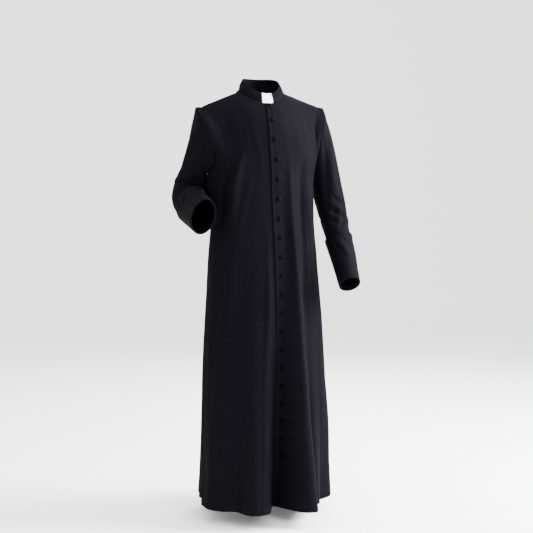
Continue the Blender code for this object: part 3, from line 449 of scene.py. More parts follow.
def fold_height(angle, z):
    """How far the folds push the cloth out at a panel angle and a height."""
    total = np.zeros(np.broadcast(angle, z).shape)
    for row in FOLDS.values():
        fold = dict(zip(FOLD_COLUMNS, row))
        along = np.clip((fold["top_z"] - z) / (fold["top_z"] - fold["low_z"]), 0, 1)
        middle = mix(along, fold["top_angle"], fold["low_angle"])
        half = mix(along, fold["top_half"], fold["low_half"])
        strength = np.sin(np.pi * along) ** 2 if fold["fade"] else along ** fold["grow"]
        total = total + fold["depth"] * strength * hump(wrap(angle - middle) / half)
    return total


def slope_normal(surface, u, v, du, dv):
    """The unit normal of surface(u, v), from points a small step to either side."""
    along_u = surface(u + du, v) - surface(u - du, v)
    along_v = surface(u, v + dv) - surface(u, v - dv)
    return unit(np.cross(along_u, along_v))


def body_point(angle, level):
    """The body's outer surface: the bare body, pushed out along its own normal by its folds."""
    safe = np.clip(level, NUDGE, 2 - NUDGE)
    bare = bare_body(angle, level)
    out = slope_normal(bare_body, angle, safe, BARE_TURN, NUDGE)
    return bare + out * fold_height(angle, bare[..., 2])[..., None]


def body_normal(angle, level):
    """The way out of the body's outer surface."""
    safe = np.clip(level, 2 * NUDGE, 2 - 2 * NUDGE)
    return slope_normal(body_point, angle, safe, BODY_TURN, NUDGE)


def front_angle(x, level):
    """The panel angle of a line that runs x beside the centre front."""
    wide = curve(level_z(level), SECTION_COLUMNS, SECTIONS, "half_width")
    # Above the chest the columns close in on the neck, which is narrower than the body.
    return np.degrees(x / mix(step_up(level - 1), wide, NECK_HALF * 90 / NECK_CORNER))


def front_edge(level):
    """How far the left front runs past the centre line."""
    z = bare_body(0.0, level)[..., 2]
    return mix(step_up(z / EDGE_FULL_Z), EDGE_AT_NECK, EDGE_BELOW)


def underlap(level):
    """How far the right front runs on beneath the left."""
    z = bare_body(0.0, level)[..., 2]
    return mix(step_up(z / EDGE_FULL_Z), TAB_WIDE / 2, UNDERLAP)


def overlap_lift(angle, level):
    """How far the left front stands off the right front, which lies beneath its edge."""
    x = angle / front_angle(1.0, level)
    return (CLOTH + LIFT) * (1 - step_up((x - underlap(level) - EASE_START) / EASE))


def left_front_point(angle, level):
    """The left front's outer surface: the body's, lifted off the right front."""
    lift = overlap_lift(angle, level)[..., None]
    return body_point(angle, level) + lift * body_normal(angle, level)


# ---------------------------------------------------------------- the sleeves
def arm_frame(arm):
    """The arm's line: a straight, an arc round the elbow and a straight, in one plane."""
    start, elbow, end = (np.array(arm[name]) for name in ("start", "elbow", "end"))
    upper, lower = unit(elbow - start), unit(end - elbow)
    turn = math.acos(float(upper @ lower))
    cut = arm["bend_r"] * math.tan(turn / 2)
    straight = float(np.linalg.norm(elbow - start)) - cut
    outward = unit(np.cross(upper, lower))
    if outward[0] * arm["side"] < 0:
        outward = -outward
    inward_bend = unit(lower - upper)
    front = unit(inward_bend - upper * float(inward_bend @ upper))
    total = straight + arm["bend_r"] * turn + float(np.linalg.norm(end - elbow)) - cut
    return {
        "start": start,
        "upper": upper,
        "front": front,
        "outward": outward,
        "straight": straight,
        "turn": turn,
        "bend_r": arm["bend_r"],
        "long": total,
    }


def arm_place(frame, way):
    """The arm line's point, direction and front side, way metres from its start."""
    way = np.asarray(way, float)[..., None]
    upper, front, r = frame["upper"], frame["front"], frame["bend_r"]
    swing = np.clip((way - frame["straight"]) / r, 0, frame["turn"])
    straight = np.minimum(way, frame["straight"])
    rest = np.maximum(way - frame["straight"] - r * frame["turn"], 0)
    along = np.cos(swing) * upper + np.sin(swing) * front
    side = np.cos(swing) * front - np.sin(swing) * upper
    at = frame["start"] + straight * upper
    at = at + r * (np.sin(swing) * upper + (1 - np.cos(swing)) * front) + rest * along
    return at, along, side


def sleeve_folds(name, round_it, share):
    """How far a sleeve's folds push the cloth out."""
    total = np.zeros(np.broadcast(round_it, share).shape)
    for row in SLEEVE_FOLDS[name]:
        fold = dict(zip(SLEEVE_FOLD_COLUMNS, row))
        along = np.clip((share - fold["top"]) / (fold["low"] - fold["top"]), 0, 1)
        middle = mix(along, fold["top_angle"], fold["low_angle"])
        wave = hump(wrap(round_it - middle) / fold["half"])
        total = total + fold["depth"] * np.sin(np.pi * along) ** 2 * wave
    return total


def sleeve_tube(name, round_it, way, out=0.0):
    """A point of the sleeve's tube: an oval round the arm's line, 0 degrees outwards and 90 to the
    front before the twist, with its folds, moved out by out."""
    frame = arm_frame(ARMS[name])
    round_it = np.asarray(round_it) + ARMS[name]["twist"]
    share = np.clip(np.asarray(way, float) / frame["long"], 0, 1)
    across, along = (
        curve(share, SLEEVE_COLUMNS, SLEEVE_SIZES[name], size) for size in SLEEVE_COLUMNS[1:]
    )
    push = sleeve_folds(name, round_it, share) + out
    at, _, front = arm_place(frame, way)
    c, s = np.cos(np.radians(round_it)), np.sin(np.radians(round_it))
    aside = ((across + push) * c)[..., None] * frame["outward"]
    return at + aside + ((along + push) * s)[..., None] * front


def armhole_table():
    """Angles round a sleeve beside the panel angles of the armhole, in step with the length of the
    seam: down the front from the shoulder (0) to the underarm (180), and up the back."""
    forward = np.linspace(SHOULDER_CORNER, 90, SEAM_STEPS)
    halves = []
    for panel in (forward, 180 - forward):
        edge, _ = top_edge(panel)
        far = np.concatenate([[0], np.cumsum(np.linalg.norm(np.diff(edge, axis=0), axis=1))])
        halves.append(180 * far / far[-1])
    round_it = np.concatenate([halves[0], (360 - halves[1])[::-1][1:]])
    return round_it, np.concatenate([forward, (180 - forward)[::-1][1:]])


def sleeve_cap(name, round_it, t):
    """The sleeve between the armhole (t is 0) and the start of its tube (t is 1). Each line leaves the
    armhole outwards and arrives along the arm; over the shoulder a pad keeps the corner."""
    arm = ARMS[name]
    round_table, angle_table = armhole_table()
    angle = arm["side"] * np.interp(np.mod(round_it, 360.0), round_table, angle_table)
    points, _ = top_edge(angle)
    end = sleeve_tube(name, round_it, 0.0)
    _, arm_way, front = arm_place(arm_frame(arm), 0.0)
    top = 0.5 + 0.5 * np.cos(np.radians(round_it))[..., None]
    bulge = np.sin(np.radians(round_it))[..., None]
    sideways = np.array([arm["side"], 0.0, 0.0])
    far = np.linalg.norm(end - points, axis=-1, keepdims=True)
    leave = far * (mix(top, *CAP_OUT) * sideways + mix(top, *CAP_DOWN) * arm_way)
    leave = leave + CAP_BULGE * bulge * front
    arrive = far * mix(top, *CAP_ARRIVE) * arm_way
    t = np.asarray(t, float)[..., None]
    pad = PAD_HIGH * top**3 * bell(t - PAD_AT, PAD_WIDE) * step_up(t / PAD_AT)
    return cubic(t, points, leave, end, arrive) + pad * unit(sideways + UP)


def sleeve_point(name, round_it, along):
    """The sleeve's outer surface: along runs over the cap from 0 to 1 and down the tube from 1 to 2."""
    round_it, along = np.broadcast_arrays(np.asarray(round_it, float), np.asarray(along, float))
    cap = sleeve_cap(name, round_it, np.clip(along, 0, 1))
    way = np.clip(along - 1, 0, 1) * arm_frame(ARMS[name])["long"]
    tube = sleeve_tube(name, round_it, way)
    return np.where(along[..., None] < 1, cap, tube)


def sleeve_normal(name, round_it, along):
    """The way out of a sleeve's outer surface."""
    safe = np.clip(along, NUDGE, 2 - NUDGE)
    out = slope_normal(lambda u, v: sleeve_point(name, u, v), round_it, safe, SLEEVE_TURN, NUDGE)
    return out * ARMS[name]["side"]


# ---------------------------------------------------------------- the collar
def collar_point(angle, rise, out=0.0):
    """The collar's outer face: rise 0 on the neck seam and 1 at its upper edge, where the ring is
    smaller and further back."""
    s, c = np.sin(np.radians(angle)), np.cos(np.radians(angle))
    base = neck_point(angle)
    top = stack(
        COLLAR_TOP_HALF * s, COLLAR_TOP_MID_Y - COLLAR_TOP_DEEP * c, base[..., 2] + COLLAR_HIGH
    )
    out_way = unit(stack(s / NECK_HALF, -c / NECK_DEEP, 0 * s))
    rise = np.asarray(rise, float)[..., None]
    swell = COLLAR_SWELL * np.sin(np.pi * rise)
    return mix(rise, base, top) + (out + swell) * out_way


def collar_normal(angle, rise):
    """The way out of the collar's outer face."""
    safe = np.clip(rise, NUDGE, 1 - NUDGE)
    return slope_normal(collar_point, angle, safe, COLLAR_TURN, NUDGE)


# ---------------------------------------------------------------- creases
# Each crease is a soft trough (minus) or ridge (plus) along a bent path: its start, the point that it
# bends towards and its end, as an angle in degrees and a height or a way in metres. Then come its half
# width and depth in millimetres, and how much steeper one side is (minus or plus).
FRONT_LEFT_CREASES = [
    # the ridge left of the buttons, from the breast to the hem, and the hollows beside it
    (13, -0.22, 12, -0.45, 13.5, -0.80, 10, 3.0, -0.2),
    (13, -0.45, 14, -0.80, 13, -1.15, 10, 2.2, -0.2),
    (14, -0.80, 11, -1.15, 8, -1.55, 11, 1.6, -0.2),
    (28, -0.22, 26, -0.44, 30, -0.82, 17, -6.0, 0.0),
    (25, -0.56, 26, -0.90, 26, -1.28, 44, -6.0, 0.4),
    (26, -1.00, 26, -1.30, 26, -1.62, 44, -5.4, 0.4),
    (46, -0.60, 47, -0.93, 48, -1.25, 45, 3.8, 0.4),
    (47, -1.00, 48, -1.29, 50, -1.60, 45, 4.6, 0.4),
    (32, -0.60, 33, -0.93, 33, -1.25, 40, -4.0, -0.25),
    (33, -1.00, 33, -1.29, 34, -1.60, 40, -4.8, -0.25),
    (57, -0.62, 60, -0.92, 63, -1.30, 56, 4.8, 0.0),
    (62, -1.02, 64, -1.32, 66, -1.62, 60, 4.4, 0.0),
    (38, -0.22, 42, -0.50, 45, -0.82, 19, 3.4, 0.2),
    (36, -0.08, 38, -0.19, 36, -0.29, 66, 5.6, 0.0),
    (4, -0.30, 5, -0.55, 4, -0.80, 14, -0.8, 0.0),
    (66, -0.45, 70, -0.90, 69, -1.45, 22, 2.0, 0.2),
    (62, -0.80, 61, -1.10, 60, -1.50, 15, -1.6, 0.0),
    # drags that run from the shoulder down to the armhole
    (33, -0.09, 36, -0.14, 45, -0.21, 7, -0.9, 0.2),
    (37, -0.10, 42, -0.15, 50, -0.20, 6, 0.8, 0.0),
    (41, -0.11, 49, -0.15, 57, -0.19, 6, -0.8, 0.0),
    (45, -0.11, 52, -0.14, 58, -0.17, 5, 0.6, 0.0),
    (26, -0.05, 29, -0.12, 34, -0.22, 9, 0.9, 0.0),
    # short pulls beside the upper buttons
    (1, -0.10, 6, -0.105, 14, -0.12, 6, -0.8, 0.0),
    (1, -0.165, 7, -0.17, 13, -0.185, 7, -0.9, 0.0),
    (2, -0.30, 7, -0.295, 13, -0.31, 8, -0.8, 0.0),
]
FRONT_RIGHT_CREASES = [
    # the fullness beside the bent arm, the same on both sides of the side seam
    (-93, -0.265, -94, -0.33, -93, -0.415, 34, 7.4, 0.0),
    # the ridge right of the buttons, and the soft swell beside it
    (-13, -0.48, -12, -0.72, -17, -0.98, 10, 2.6, 0.1),
    (-16, -0.80, -20, -1.10, -24, -1.55, 11, 2.6, 0.1),
    (-17, -0.52, -16, -0.78, -20, -1.06, 34, 0.9, -0.5),
    (-19, -0.84, -22, -1.15, -26, -1.55, 34, 1.1, -0.5),
    (-35, -0.46, -37, -0.86, -41, -1.30, 50, -3.8, 0.0),
    (-37, -0.92, -41, -1.26, -45, -1.60, 50, -3.8, 0.0),
    (-46, -0.45, -60, -0.85, -70, -1.30, 28, 3.2, 0.0),
    (-72, -0.55, -76, -0.90, -80, -1.45, 24, -2.2, 0.0),
    (-44, -0.90, -47, -1.15, -50, -1.50, 18, -1.6, 0.2),
    # the fold that runs from the breast down to the bent arm, and the hollow above it
    (-27, -0.19, -42, -0.30, -66, -0.43, 12, 3.5, 0.4),
    (-36, -0.22, -48, -0.29, -78, -0.37, 14, -4.6, 0.0),
    (-50, -0.36, -64, -0.43, -84, -0.50, 15, -2.4, 0.0),
    (-24, -0.30, -33, -0.40, -50, -0.52, 16, 1.0, 0.0),
    (-19, -0.22, -25, -0.36, -37, -0.50, 13, -0.8, 0.0),
    # drags below the shoulder and beside the armhole
    (-48, -0.08, -56, -0.13, -66, -0.20, 7, -1.6, 0.0),
    (-42, -0.09, -49, -0.15, -56, -0.23, 8, 1.3, 0.0),
    (-36, -0.07, -38, -0.14, -42, -0.22, 9, -1.1, 0.0),
    (-29, -0.06, -30, -0.12, -31, -0.20, 8, 0.9, 0.0),
    (-21, -0.07, -21, -0.14, -21, -0.22, 8, -0.7, 0.0),
    (-16, -0.12, -15, -0.20, -14, -0.32, 9, 0.9, 0.0),
    (-60, -0.20, -70, -0.27, -86, -0.33, 9, -2.0, 0.2),
]
BACK_CREASES = [
    # the fullness beside the bent arm, the same on both sides of the side seam
    (-93, -0.265, -94, -0.33, -93, -0.415, 34, 7.4, 0.0),
    # flutes of the skirt
    (150, -0.42, 147, -0.90, 143, -1.50, 20, 3.0, 0.2),
    (127, -0.50, 126, -0.90, 124, -1.50, 20, -3.0, 0.0),
    (104, -0.45, 102, -0.90, 100, -1.50, 22, 2.6, -0.2),
    (168, -0.55, 166, -1.00, 163, -1.50, 18, -2.6, 0.0),
    (178, -0.60, 180, -1.00, 181, -1.50, 15, 2.2, 0.2),
    (-152, -0.44, -149, -0.95, -146, -1.50, 20, 3.0, -0.2),
    (-130, -0.52, -128, -0.90, -127, -1.50, 21, -2.8, 0.0),
    (-107, -0.48, -105, -0.95, -102, -1.50, 20, 2.4, 0.2),
    (-168, -0.60, -166, -1.00, -165, -1.50, 17, -2.4, 0.0),
    # drags from the armholes over the shoulder blades, and across the waist
    (112, -0.20, 128, -0.24, 150, -0.32, 14, 2.4, 0.2),
    (110, -0.26, 130, -0.31, 154, -0.42, 15, -2.2, 0.0),
    (-110, -0.19, -126, -0.25, -152, -0.35, 14, 2.6, -0.2),
    (-108, -0.26, -128, -0.33, -156, -0.44, 16, -2.4, 0.0),
    (100, -0.34, 122, -0.42, 140, -0.52, 16, 1.8, 0.0),
    (-98, -0.33, -120, -0.40, -142, -0.50, 16, 1.8, 0.0),
    (130, -0.07, 134, -0.13, 137, -0.20, 9, -1.3, 0.0),
    (-131, -0.07, -134, -0.14, -138, -0.21, 9, -1.3, 0.0),
    (170, -0.05, 180, -0.07, 190, -0.05, 9, -1.0, 0.0),
]
SLEEVE_CREASES = {
    "left": [
        # the long soft ridge down the front, and the dark hollows beside it
        (82, -0.14, 99, 0.02, 118, 0.15, 11, -2.8, 0.0),
        (60, -0.14, 70, 0.02, 88, 0.15, 14, 3.2, 0.0),
        (128, -0.08, 138, 0.00, 146, 0.10, 13, -1.8, 0.0),
        (46, -0.10, 47, 0.00, 30, 0.13, 13, 1.8, 0.0),
        (54, -0.13, 62, -0.09, 78, -0.05, 7, -1.5, 0.0),
        # wrinkles across the elbow
        (96, 0.070, 70, 0.100, 40, 0.135, 5.5, -3.0, 0.3),
        (112, 0.090, 84, 0.118, 58, 0.160, 7, 2.4, 0.0),
        (138, 0.110, 104, 0.140, 62, 0.185, 6, -3.0, 0.2),
        (128, 0.150, 96, 0.178, 66, 0.215, 7, 2.2, 0.0),
        (150, 0.160, 120, 0.190, 84, 0.226, 6, -2.2, 0.0),
        (50, 0.190, 66, 0.214, 92, 0.232, 6, -2.4, 0.0),
        (20, 0.120, 10, 0.150, -14, 0.175, 8, -2.2, 0.0),
        (24, 0.170, 4, 0.190, -30, 0.205, 8, 1.8, 0.0),
        (190, 0.060, 214, 0.100, 232, 0.150, 11, 2.4, 0.0),
        (176, 0.140, 206, 0.165, 240, 0.180, 9, -2.6, 0.2),
        (250, 0.030, 262, 0.090, 256, 0.160, 12, -2.2, 0.0),
        (300, -0.06, 304, 0.04, 296, 0.140, 12, 2.0, 0.0),
        (270, 0.150, 300, 0.175, 330, 0.180, 8, -1.9, 0.0),
        (215, -0.10, 222, -0.03, 226, 0.060, 11, -2.0, 0.0),
    ],
    "right": [
        # dark folds across the crook of the elbow
        (58, 0.060, 92, 0.028, 172, -0.034, 5, -2.8, 0.3),
        (66, 0.022, 100, -0.004, 168, -0.050, 6, 2.0, 0.0),
        (60, 0.082, 100, 0.048, 176, 0.004, 6, 2.6, 0.0),
        (62, 0.104, 104, 0.088, 174, 0.024, 5, -3.0, 0.3),
        (60, 0.120, 104, 0.104, 176, 0.070, 7, 2.2, 0.0),
        (40, 0.096, 68, 0.104, 96, 0.112, 6, -2.0, 0.0),
        (20, 0.030, 40, 0.048, 62, 0.050, 7, 1.9, 0.0),
        (330, 0.060, 350, 0.080, 20, 0.080, 9, -1.8, 0.0),
        # the fullness on the inside of the elbow
        (158, -0.06, 182, 0.00, 181, 0.10, 29, 8.2, 0.0),
        # long hollows of the upper arm
        (88, -0.13, 96, -0.07, 104, 0.00, 9, 1.9, 0.0),
        (118, -0.13, 138, -0.09, 160, -0.04, 9, -2.2, 0.0),
        (60, -0.10, 66, -0.04, 60, 0.020, 11, -1.5, 0.0),
        (28, -0.09, 28, -0.03, 38, 0.020, 12, 1.4, 0.0),
        (300, -0.10, 290, -0.02, 280, 0.060, 12, 2.0, 0.0),
        (264, -0.09, 262, 0.00, 250, 0.070, 12, -2.2, 0.0),
        (220, 0.02, 236, 0.06, 250, 0.090, 9, 1.8, 0.0),
        (230, 0.05, 250, 0.10, 262, 0.120, 8, -1.9, 0.0),
    ],
}
CUFF_CREASES = {
    "left": [
        (128, 0.262, 100, 0.296, 66, 0.352, 8, 1.9, 0.2),
        (138, 0.278, 112, 0.306, 88, 0.362, 8, -2.0, 0.0),
        (96, 0.262, 76, 0.290, 50, 0.320, 8, -1.5, 0.0),
        (165, 0.350, 148, 0.382, 126, 0.404, 9, -1.6, 0.0),
        (230, 0.280, 250, 0.320, 262, 0.380, 10, 1.6, 0.0),
        (320, 0.290, 306, 0.330, 300, 0.390, 10, -1.6, 0.0),
        (20, 0.280, 10, 0.320, 8, 0.380, 9, 1.3, 0.0),
    ],
    "right": [
        (46, 0.170, 40, 0.200, 26, 0.216, 6, -1.8, 0.0),
        (82, 0.188, 64, 0.206, 42, 0.236, 6, -1.7, 0.2),
        (66, 0.176, 54, 0.196, 38, 0.222, 7, 1.4, 0.0),
        (100, 0.165, 116, 0.220, 120, 0.300, 9, 1.5, 0.0),
        (160, 0.180, 170, 0.230, 168, 0.300, 10, -1.5, 0.0),
        (230, 0.170, 240, 0.220, 246, 0.300, 10, 1.4, 0.0),
        (300, 0.180, 310, 0.220, 306, 0.290, 9, -1.5, 0.0),
    ],
}

# ---------------------------------------------------------------- relief of the cloth
MM = 0.001
BODY_DEGREE = 0.0036  # how wide a degree is on the body, in metres
BODY_LEVEL = 1.1  # how long a level is there
TOP_LONG = 0.30  # how long the columns of cloth are above the chest
SLEEVE_DEGREE = 0.00085
CAP_LONG = 0.15  # the cap's rows are counted over this length
PATH_STEPS = 20  # straight pieces that a crease's path is measured by
CREASE_DEEP = 1.7  # how much all creases are deepened
CREASE_REACH = 3  # half widths, past which a crease no longer counts
CREASE_FADE = 0.8  # how bluntly a crease ends
SEAM_DIP = 0.0011  # how deep the cloth rolls in at a seam, and over what width
SEAM_ROLL = 0.0030
PUCKER_HIGH = 0.00035
PUCKER_WAVES = ((1.0, 260, 0.0), (0.6, 171, 1.3))  # share, phase for each metre of seam, and start
PUCKER_FADE = 0.011
SWELL_HIGH = 0.0005  # how high the broad swells are
SEAM_CALM = 0.02  # the swells grow from a seam over this width
BEAD_HIGH = 0.0011  # a pressed edge's bead: its place and width are shares of the stitch's distance
BEAD_AT = 0.45
BEAD_WIDE = 0.34
GROOVE_DEEP = 0.0009
GROOVE_WIDE = 0.0018


def crease_height(u, v, table, degree):
    """How far the creases push the cloth out. Each falls off from its path as exp(-(d / w) ** 2), where
    d is the distance to the path, and fades to nothing at the path's two ends."""
    total = np.zeros(np.broadcast(u, v).shape)
    t = np.linspace(0, 1, PATH_STEPS + 1)
    for u0, v0, u1, v1, u2, v2, half, depth, steep in table:
        pu = ((1 - t) ** 2 * u0 + 2 * t * (1 - t) * u1 + t**2 * u2) * degree
        pv = (1 - t) ** 2 * v0 + 2 * t * (1 - t) * v1 + t**2 * v2
        reach = CREASE_REACH * half * MM * (1 + abs(steep))
        for turn in (-360, 0, 360):
            x, y = (u + turn) * degree, v
            near = (x > pu.min() - reach) & (x < pu.max() + reach)
            near = near & (y > pv.min() - reach) & (y < pv.max() + reach)
            if not near.any():
                continue
            x, y = x[near][:, None], y[near][:, None]
            du, dv = np.diff(pu), np.diff(pv)
            share = ((x - pu[:-1]) * du + (y - pv[:-1]) * dv) / (du**2 + dv**2)
            share = np.clip(share, 0, 1)
            off_x, off_y = x - pu[:-1] - share * du, y - pv[:-1] - share * dv
            far = np.hypot(off_x, off_y)
            best = far.argmin(axis=1)
            pick = np.arange(len(best))
            along = (best + share[pick, best]) / PATH_STEPS
            side = np.sign(du[best] * off_y[pick, best] - dv[best] * off_x[pick, best])
            form = bell(far[pick, best], half * MM * (1 + steep * side))
            total[near] += CREASE_DEEP * depth * MM * np.sin(np.pi * along) ** CREASE_FADE * form
    return total


def seam_dip(far):
    """The cloth rolls in by a millimetre over the last few millimetres before a seam."""
    return -SEAM_DIP * bell(far, SEAM_ROLL)


def pucker(far, along):
    """Shallow uneven waves along a seam, two sines added, that fade by exp(-far / PUCKER_FADE)."""
    wave = sum(share * np.sin(along * rate + start) for share, rate, start in PUCKER_WAVES)
    return PUCKER_HIGH * wave * np.exp(-far / PUCKER_FADE)


def unevenness(u, v):
    """Broad shallow swells under a millimetre, as any hanging cloth has: sines across one another, with
    repeats of 0.1 to 0.7 m that never fall in step."""
    return SWELL_HIGH * (
        np.sin(u * 31 + 1.7 * np.sin(v * 9)) * np.sin(v * 13 + 0.8)
        + 0.7 * np.sin(u * 57 + v * 23 + 2.1)
    )


# ---------------------------------------------------------------- meshes
def spread(count, first=(), last=()):
    """Shares from 0 to 1, even but for extra ones close to either end."""
    even = np.linspace(0, 1, count + 1)
    low = even[even > max(first, default=-1)]
    both = low[low < 1 - max(last, default=-1)]
    return np.concatenate([np.array(first), both, 1 - np.array(last)[::-1]])


def far_along(points, axis):
    """Lengths along the rows or columns of a grid of points, from its first one."""
    step = np.linalg.norm(np.diff(points, axis=axis), axis=-1)
    return np.insert(np.cumsum(step, axis=axis), 0, 0.0, axis=axis)


def place_object(name, data):
    """A new object in the scene, at the origin."""
    obj = bpy.data.objects.new(name, data)
    bpy.context.scene.collection.objects.link(obj)
    return obj


def new_mesh(name, points, faces):
    """A smooth mesh of points and faces, as an object."""
    mesh = bpy.data.meshes.new(name)
    mesh.from_pydata(points.reshape(-1, 3), [], faces)
    mesh.shade_smooth()
    return place_object(name, mesh)


def grid_mesh(name, points, tube=False, ring=False, flip=False):
    """A mesh on a grid of points, rows first; tube joins the last column to the first, and ring the last
    row to the first. Its UV map holds the cloth's own lengths in metres, across and along."""
    number = np.arange(points.shape[0] * points.shape[1]).reshape(points.shape[:2])
    if tube:
        number = np.concatenate([number, number[:, :1]], axis=1)
    if ring:
        number = np.concatenate([number, number[:1]], axis=0)
    closed = points.reshape(-1, 3)[number]
    across, along = far_along(closed, 1), far_along(closed, 0)
    corners = [(0, 0), (0, 1), (1, 1), (1, 0)]
    if flip:
        corners = corners[::-1]
    rows, columns = number.shape[0] - 1, number.shape[1] - 1

    def at_corners(grid):
        """Each face's four corner values."""
        return np.stack([grid[r : r + rows, c : c + columns] for r, c in corners], axis=2)

    obj = new_mesh(name, points, at_corners(number).reshape(-1, 4).tolist())
    uv = at_corners(np.stack([across, along], axis=-1))
    obj.data.uv_layers.new(name="cloth").data.foreach_set("uv", uv.ravel())
    return obj


def thicken(obj, thickness):
    """Gives a sheet its thickness inwards, with crisp rims."""
    modifier = obj.modifiers.new("thickness", "SOLIDIFY")
    modifier.thickness = thickness
    modifier.offset = -1.0
    modifier.use_even_offset = False
    return obj


def dress(obj, finish, slot, *nodes):
    """Gives a piece its material, makes it ride, and has it stand for its nodes. The slot is not used.
    """
    obj.data.materials.append(finish)
    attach(obj, "root")
    if nodes:
        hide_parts(*nodes)
    return obj


# ---------------------------------------------------------------- shader expressions
class Sock:
    """A shader socket that takes part in Python expressions; each adds a Math node."""

    def __init__(self, tree, socket):
        self.tree, self.socket = tree, socket

    def math(self, operation, *values):
        """A Math node on values or sockets."""
        return self.node("ShaderNodeMath", {"operation": operation}, values)

    def node(self, kind, settings=None, values=(), out=0):
        """Any node: its settings first, then the values or links of its sockets."""
        made = self.tree.nodes.new(kind)
        for name, value in (settings or {}).items():
            setattr(made, name, value)
        pairs = values.items() if isinstance(values, dict) else enumerate(values)
        for key, value in pairs:
            if isinstance(value, Sock):
                self.tree.links.new(value.socket, made.inputs[key])
            else:
                made.inputs[key].default_value = value
        return Sock(self.tree, made.outputs[out])

    def __add__(self, other):
        return self.math("ADD", self, other)

    def __radd__(self, other):
        return self.math("ADD", other, self)

    def __sub__(self, other):
        return self.math("SUBTRACT", self, other)

    def __rsub__(self, other):
        return self.math("SUBTRACT", other, self)

    def __mul__(self, other):
        return self.math("MULTIPLY", self, other)

    def __rmul__(self, other):
        return self.math("MULTIPLY", other, self)

    def sine(self):
        """The sine of the value."""
        return self.math("SINE", self)


def new_material(name):
    """An empty material, its shader, and the Object coordinates that its patterns start from."""
    made = bpy.data.materials.new(name)
    made.use_nodes = True
    shader = made.node_tree.nodes["Principled BSDF"]
    start = Sock(made.node_tree, shader.outputs[0])
    return made, shader, start.node("ShaderNodeTexCoord", out="Object")


def link(value, shader, name):
    """Feeds a value to one of the shader's sockets."""
    value.tree.links.new(value.socket, shader.inputs[name])


def steady(shader, values):
    """Sets the shader's own sockets, for what is the same all over."""
    for name, value in values.items():
        shader.inputs[name].default_value = value


def noise(place, scale, detail):
    """Noise over a place, from 0 to 1, with scale features for each metre."""
    return place.node(
        "ShaderNodeTexNoise", values={"Vector": place, "Scale": scale, "Detail": detail}
    )


def bump(height, shader, strength, distance):
    """Low relief from a height, distance metres deep."""
    values = {"Height": height, "Strength": strength, "Distance": distance}
    link(height.node("ShaderNodeBump", values=values), shader, "Normal")


def shade(colour, part):
    """A colour times one part, or times a part for each channel, up to white."""
    return tuple(np.minimum(1.0, np.array(colour) * part))


def mix_colour(share, low, high):
    """The Mix of two colours by a share from 0 to 1."""
    values = {0: share, 6: (*low, 1.0), 7: (*high, 1.0)}
    return share.node("ShaderNodeMix", {"data_type": "RGBA"}, values, out=2)


TWILL_STEP = 0.0011  # from one line of the twill to the next, and how it leans
TWILL_LEAN = 0.9


def wool(name, colour):
    """Worsted wool: a fine twill that follows the cloth, faint slubs, soft patches of lighter nap and
    a dusting of sheen."""
    made, shader, place = new_material(name)
    cloth = place.node("ShaderNodeUVMap", {"uv_map": "cloth"})
    across = cloth.node("ShaderNodeSeparateXYZ", values=[cloth])
    along = Sock(across.tree, across.socket.node.outputs[1])
    twill = ((across + along * TWILL_LEAN) * (2 * math.pi / TWILL_STEP)).sine() * 0.5 + 0.5
    yarn, nap, broad = noise(cloth, 900.0, 2.0), noise(place, 26.0, 4.0), noise(place, 5.0, 2.0)
    light = twill * 0.22 + yarn * 0.38 + nap * 0.25 + broad * 0.15
    link(mix_colour(light, shade(colour, 0.62), shade(colour, 1.7)), shader, "Base Color")
    link(0.72 + (nap - 0.5) * 0.16 + (yarn - 0.5) * 0.1, shader, "Roughness")
    bump(twill * 0.5 + yarn * 0.5 + nap * 0.8, shader, 0.35, 0.0003)
    steady(shader, {"IOR": 1.2, "Specular IOR Level": 0.04})
    steady(shader, {"Sheen Weight": 0.002, "Sheen Roughness": 0.45})
    steady(shader, {"Sheen Tint": (0.80, 0.84, 1.0, 1.0)})
    return made


def covered(name, colour):
    """Button cloth drawn tight over a dome: a close weave with a soft shine."""
    made, shader, place = new_material(name)
    weave = place.node("ShaderNodeTexVoronoi", values={"Vector": place, "Scale": 1500.0})
    cloud = noise(place, 90.0, 3.0)
    light = weave * 0.4 + cloud * 0.5
    link(mix_colour(light, shade(colour, 0.7), shade(colour, 1.8)), shader, "Base Color")
    link(0.40 + cloud * 0.25, shader, "Roughness")
    bump(weave, shader, 0.3, 0.0002)
    steady(shader, {"IOR": 1.25, "Specular IOR Level": 0.05})
    return made


def thread(name, colour):
    """Twisted silk thread."""
    made, shader, place = new_material(name)
    fibre = noise(place, 1400.0, 2.0)
    link(mix_colour(fibre, shade(colour, 0.7), shade(colour, 1.6)), shader, "Base Color")
    link(0.42 + fibre * 0.2, shader, "Roughness")
    bump(fibre, shader, 0.4, 0.0002)
    steady(shader, {"IOR": 1.2, "Specular IOR Level": 0.08})
    return made


def smooth_plastic(name, colour):
    """The white tab: smooth plastic with a faint grain and slight yellowing in patches."""
    made, shader, place = new_material(name)
    cloud, grain = noise(place, 60.0, 3.0), noise(place, 2200.0, 1.0)
    yellowed = shade(colour, (0.97, 0.96, 0.93))
    link(mix_colour(cloud, yellowed, shade(colour, 1.03)), shader, "Base Color")
    link(0.28 + cloud * 0.12 + grain * 0.06, shader, "Roughness")
    bump(grain, shader, 0.15, 0.0001)
    steady(shader, {"Subsurface Weight": 0.05, "Subsurface Scale": 0.002})
    return made


def studio_paper(name, colour):
    """The pale floor: matte paper with hardly any tone in it."""
    made, shader, place = new_material(name)
    cloud = noise(place, 3.0, 3.0)
    link(mix_colour(cloud, shade(colour, 0.985), colour), shader, "Base Color")
    link(0.85 + cloud * 0.1, shader, "Roughness")
    return made


MAKERS = {
    "wool": wool,
    "button": covered,
    "thread": thread,
    "tab": smooth_plastic,
    "paper": studio_paper,
}


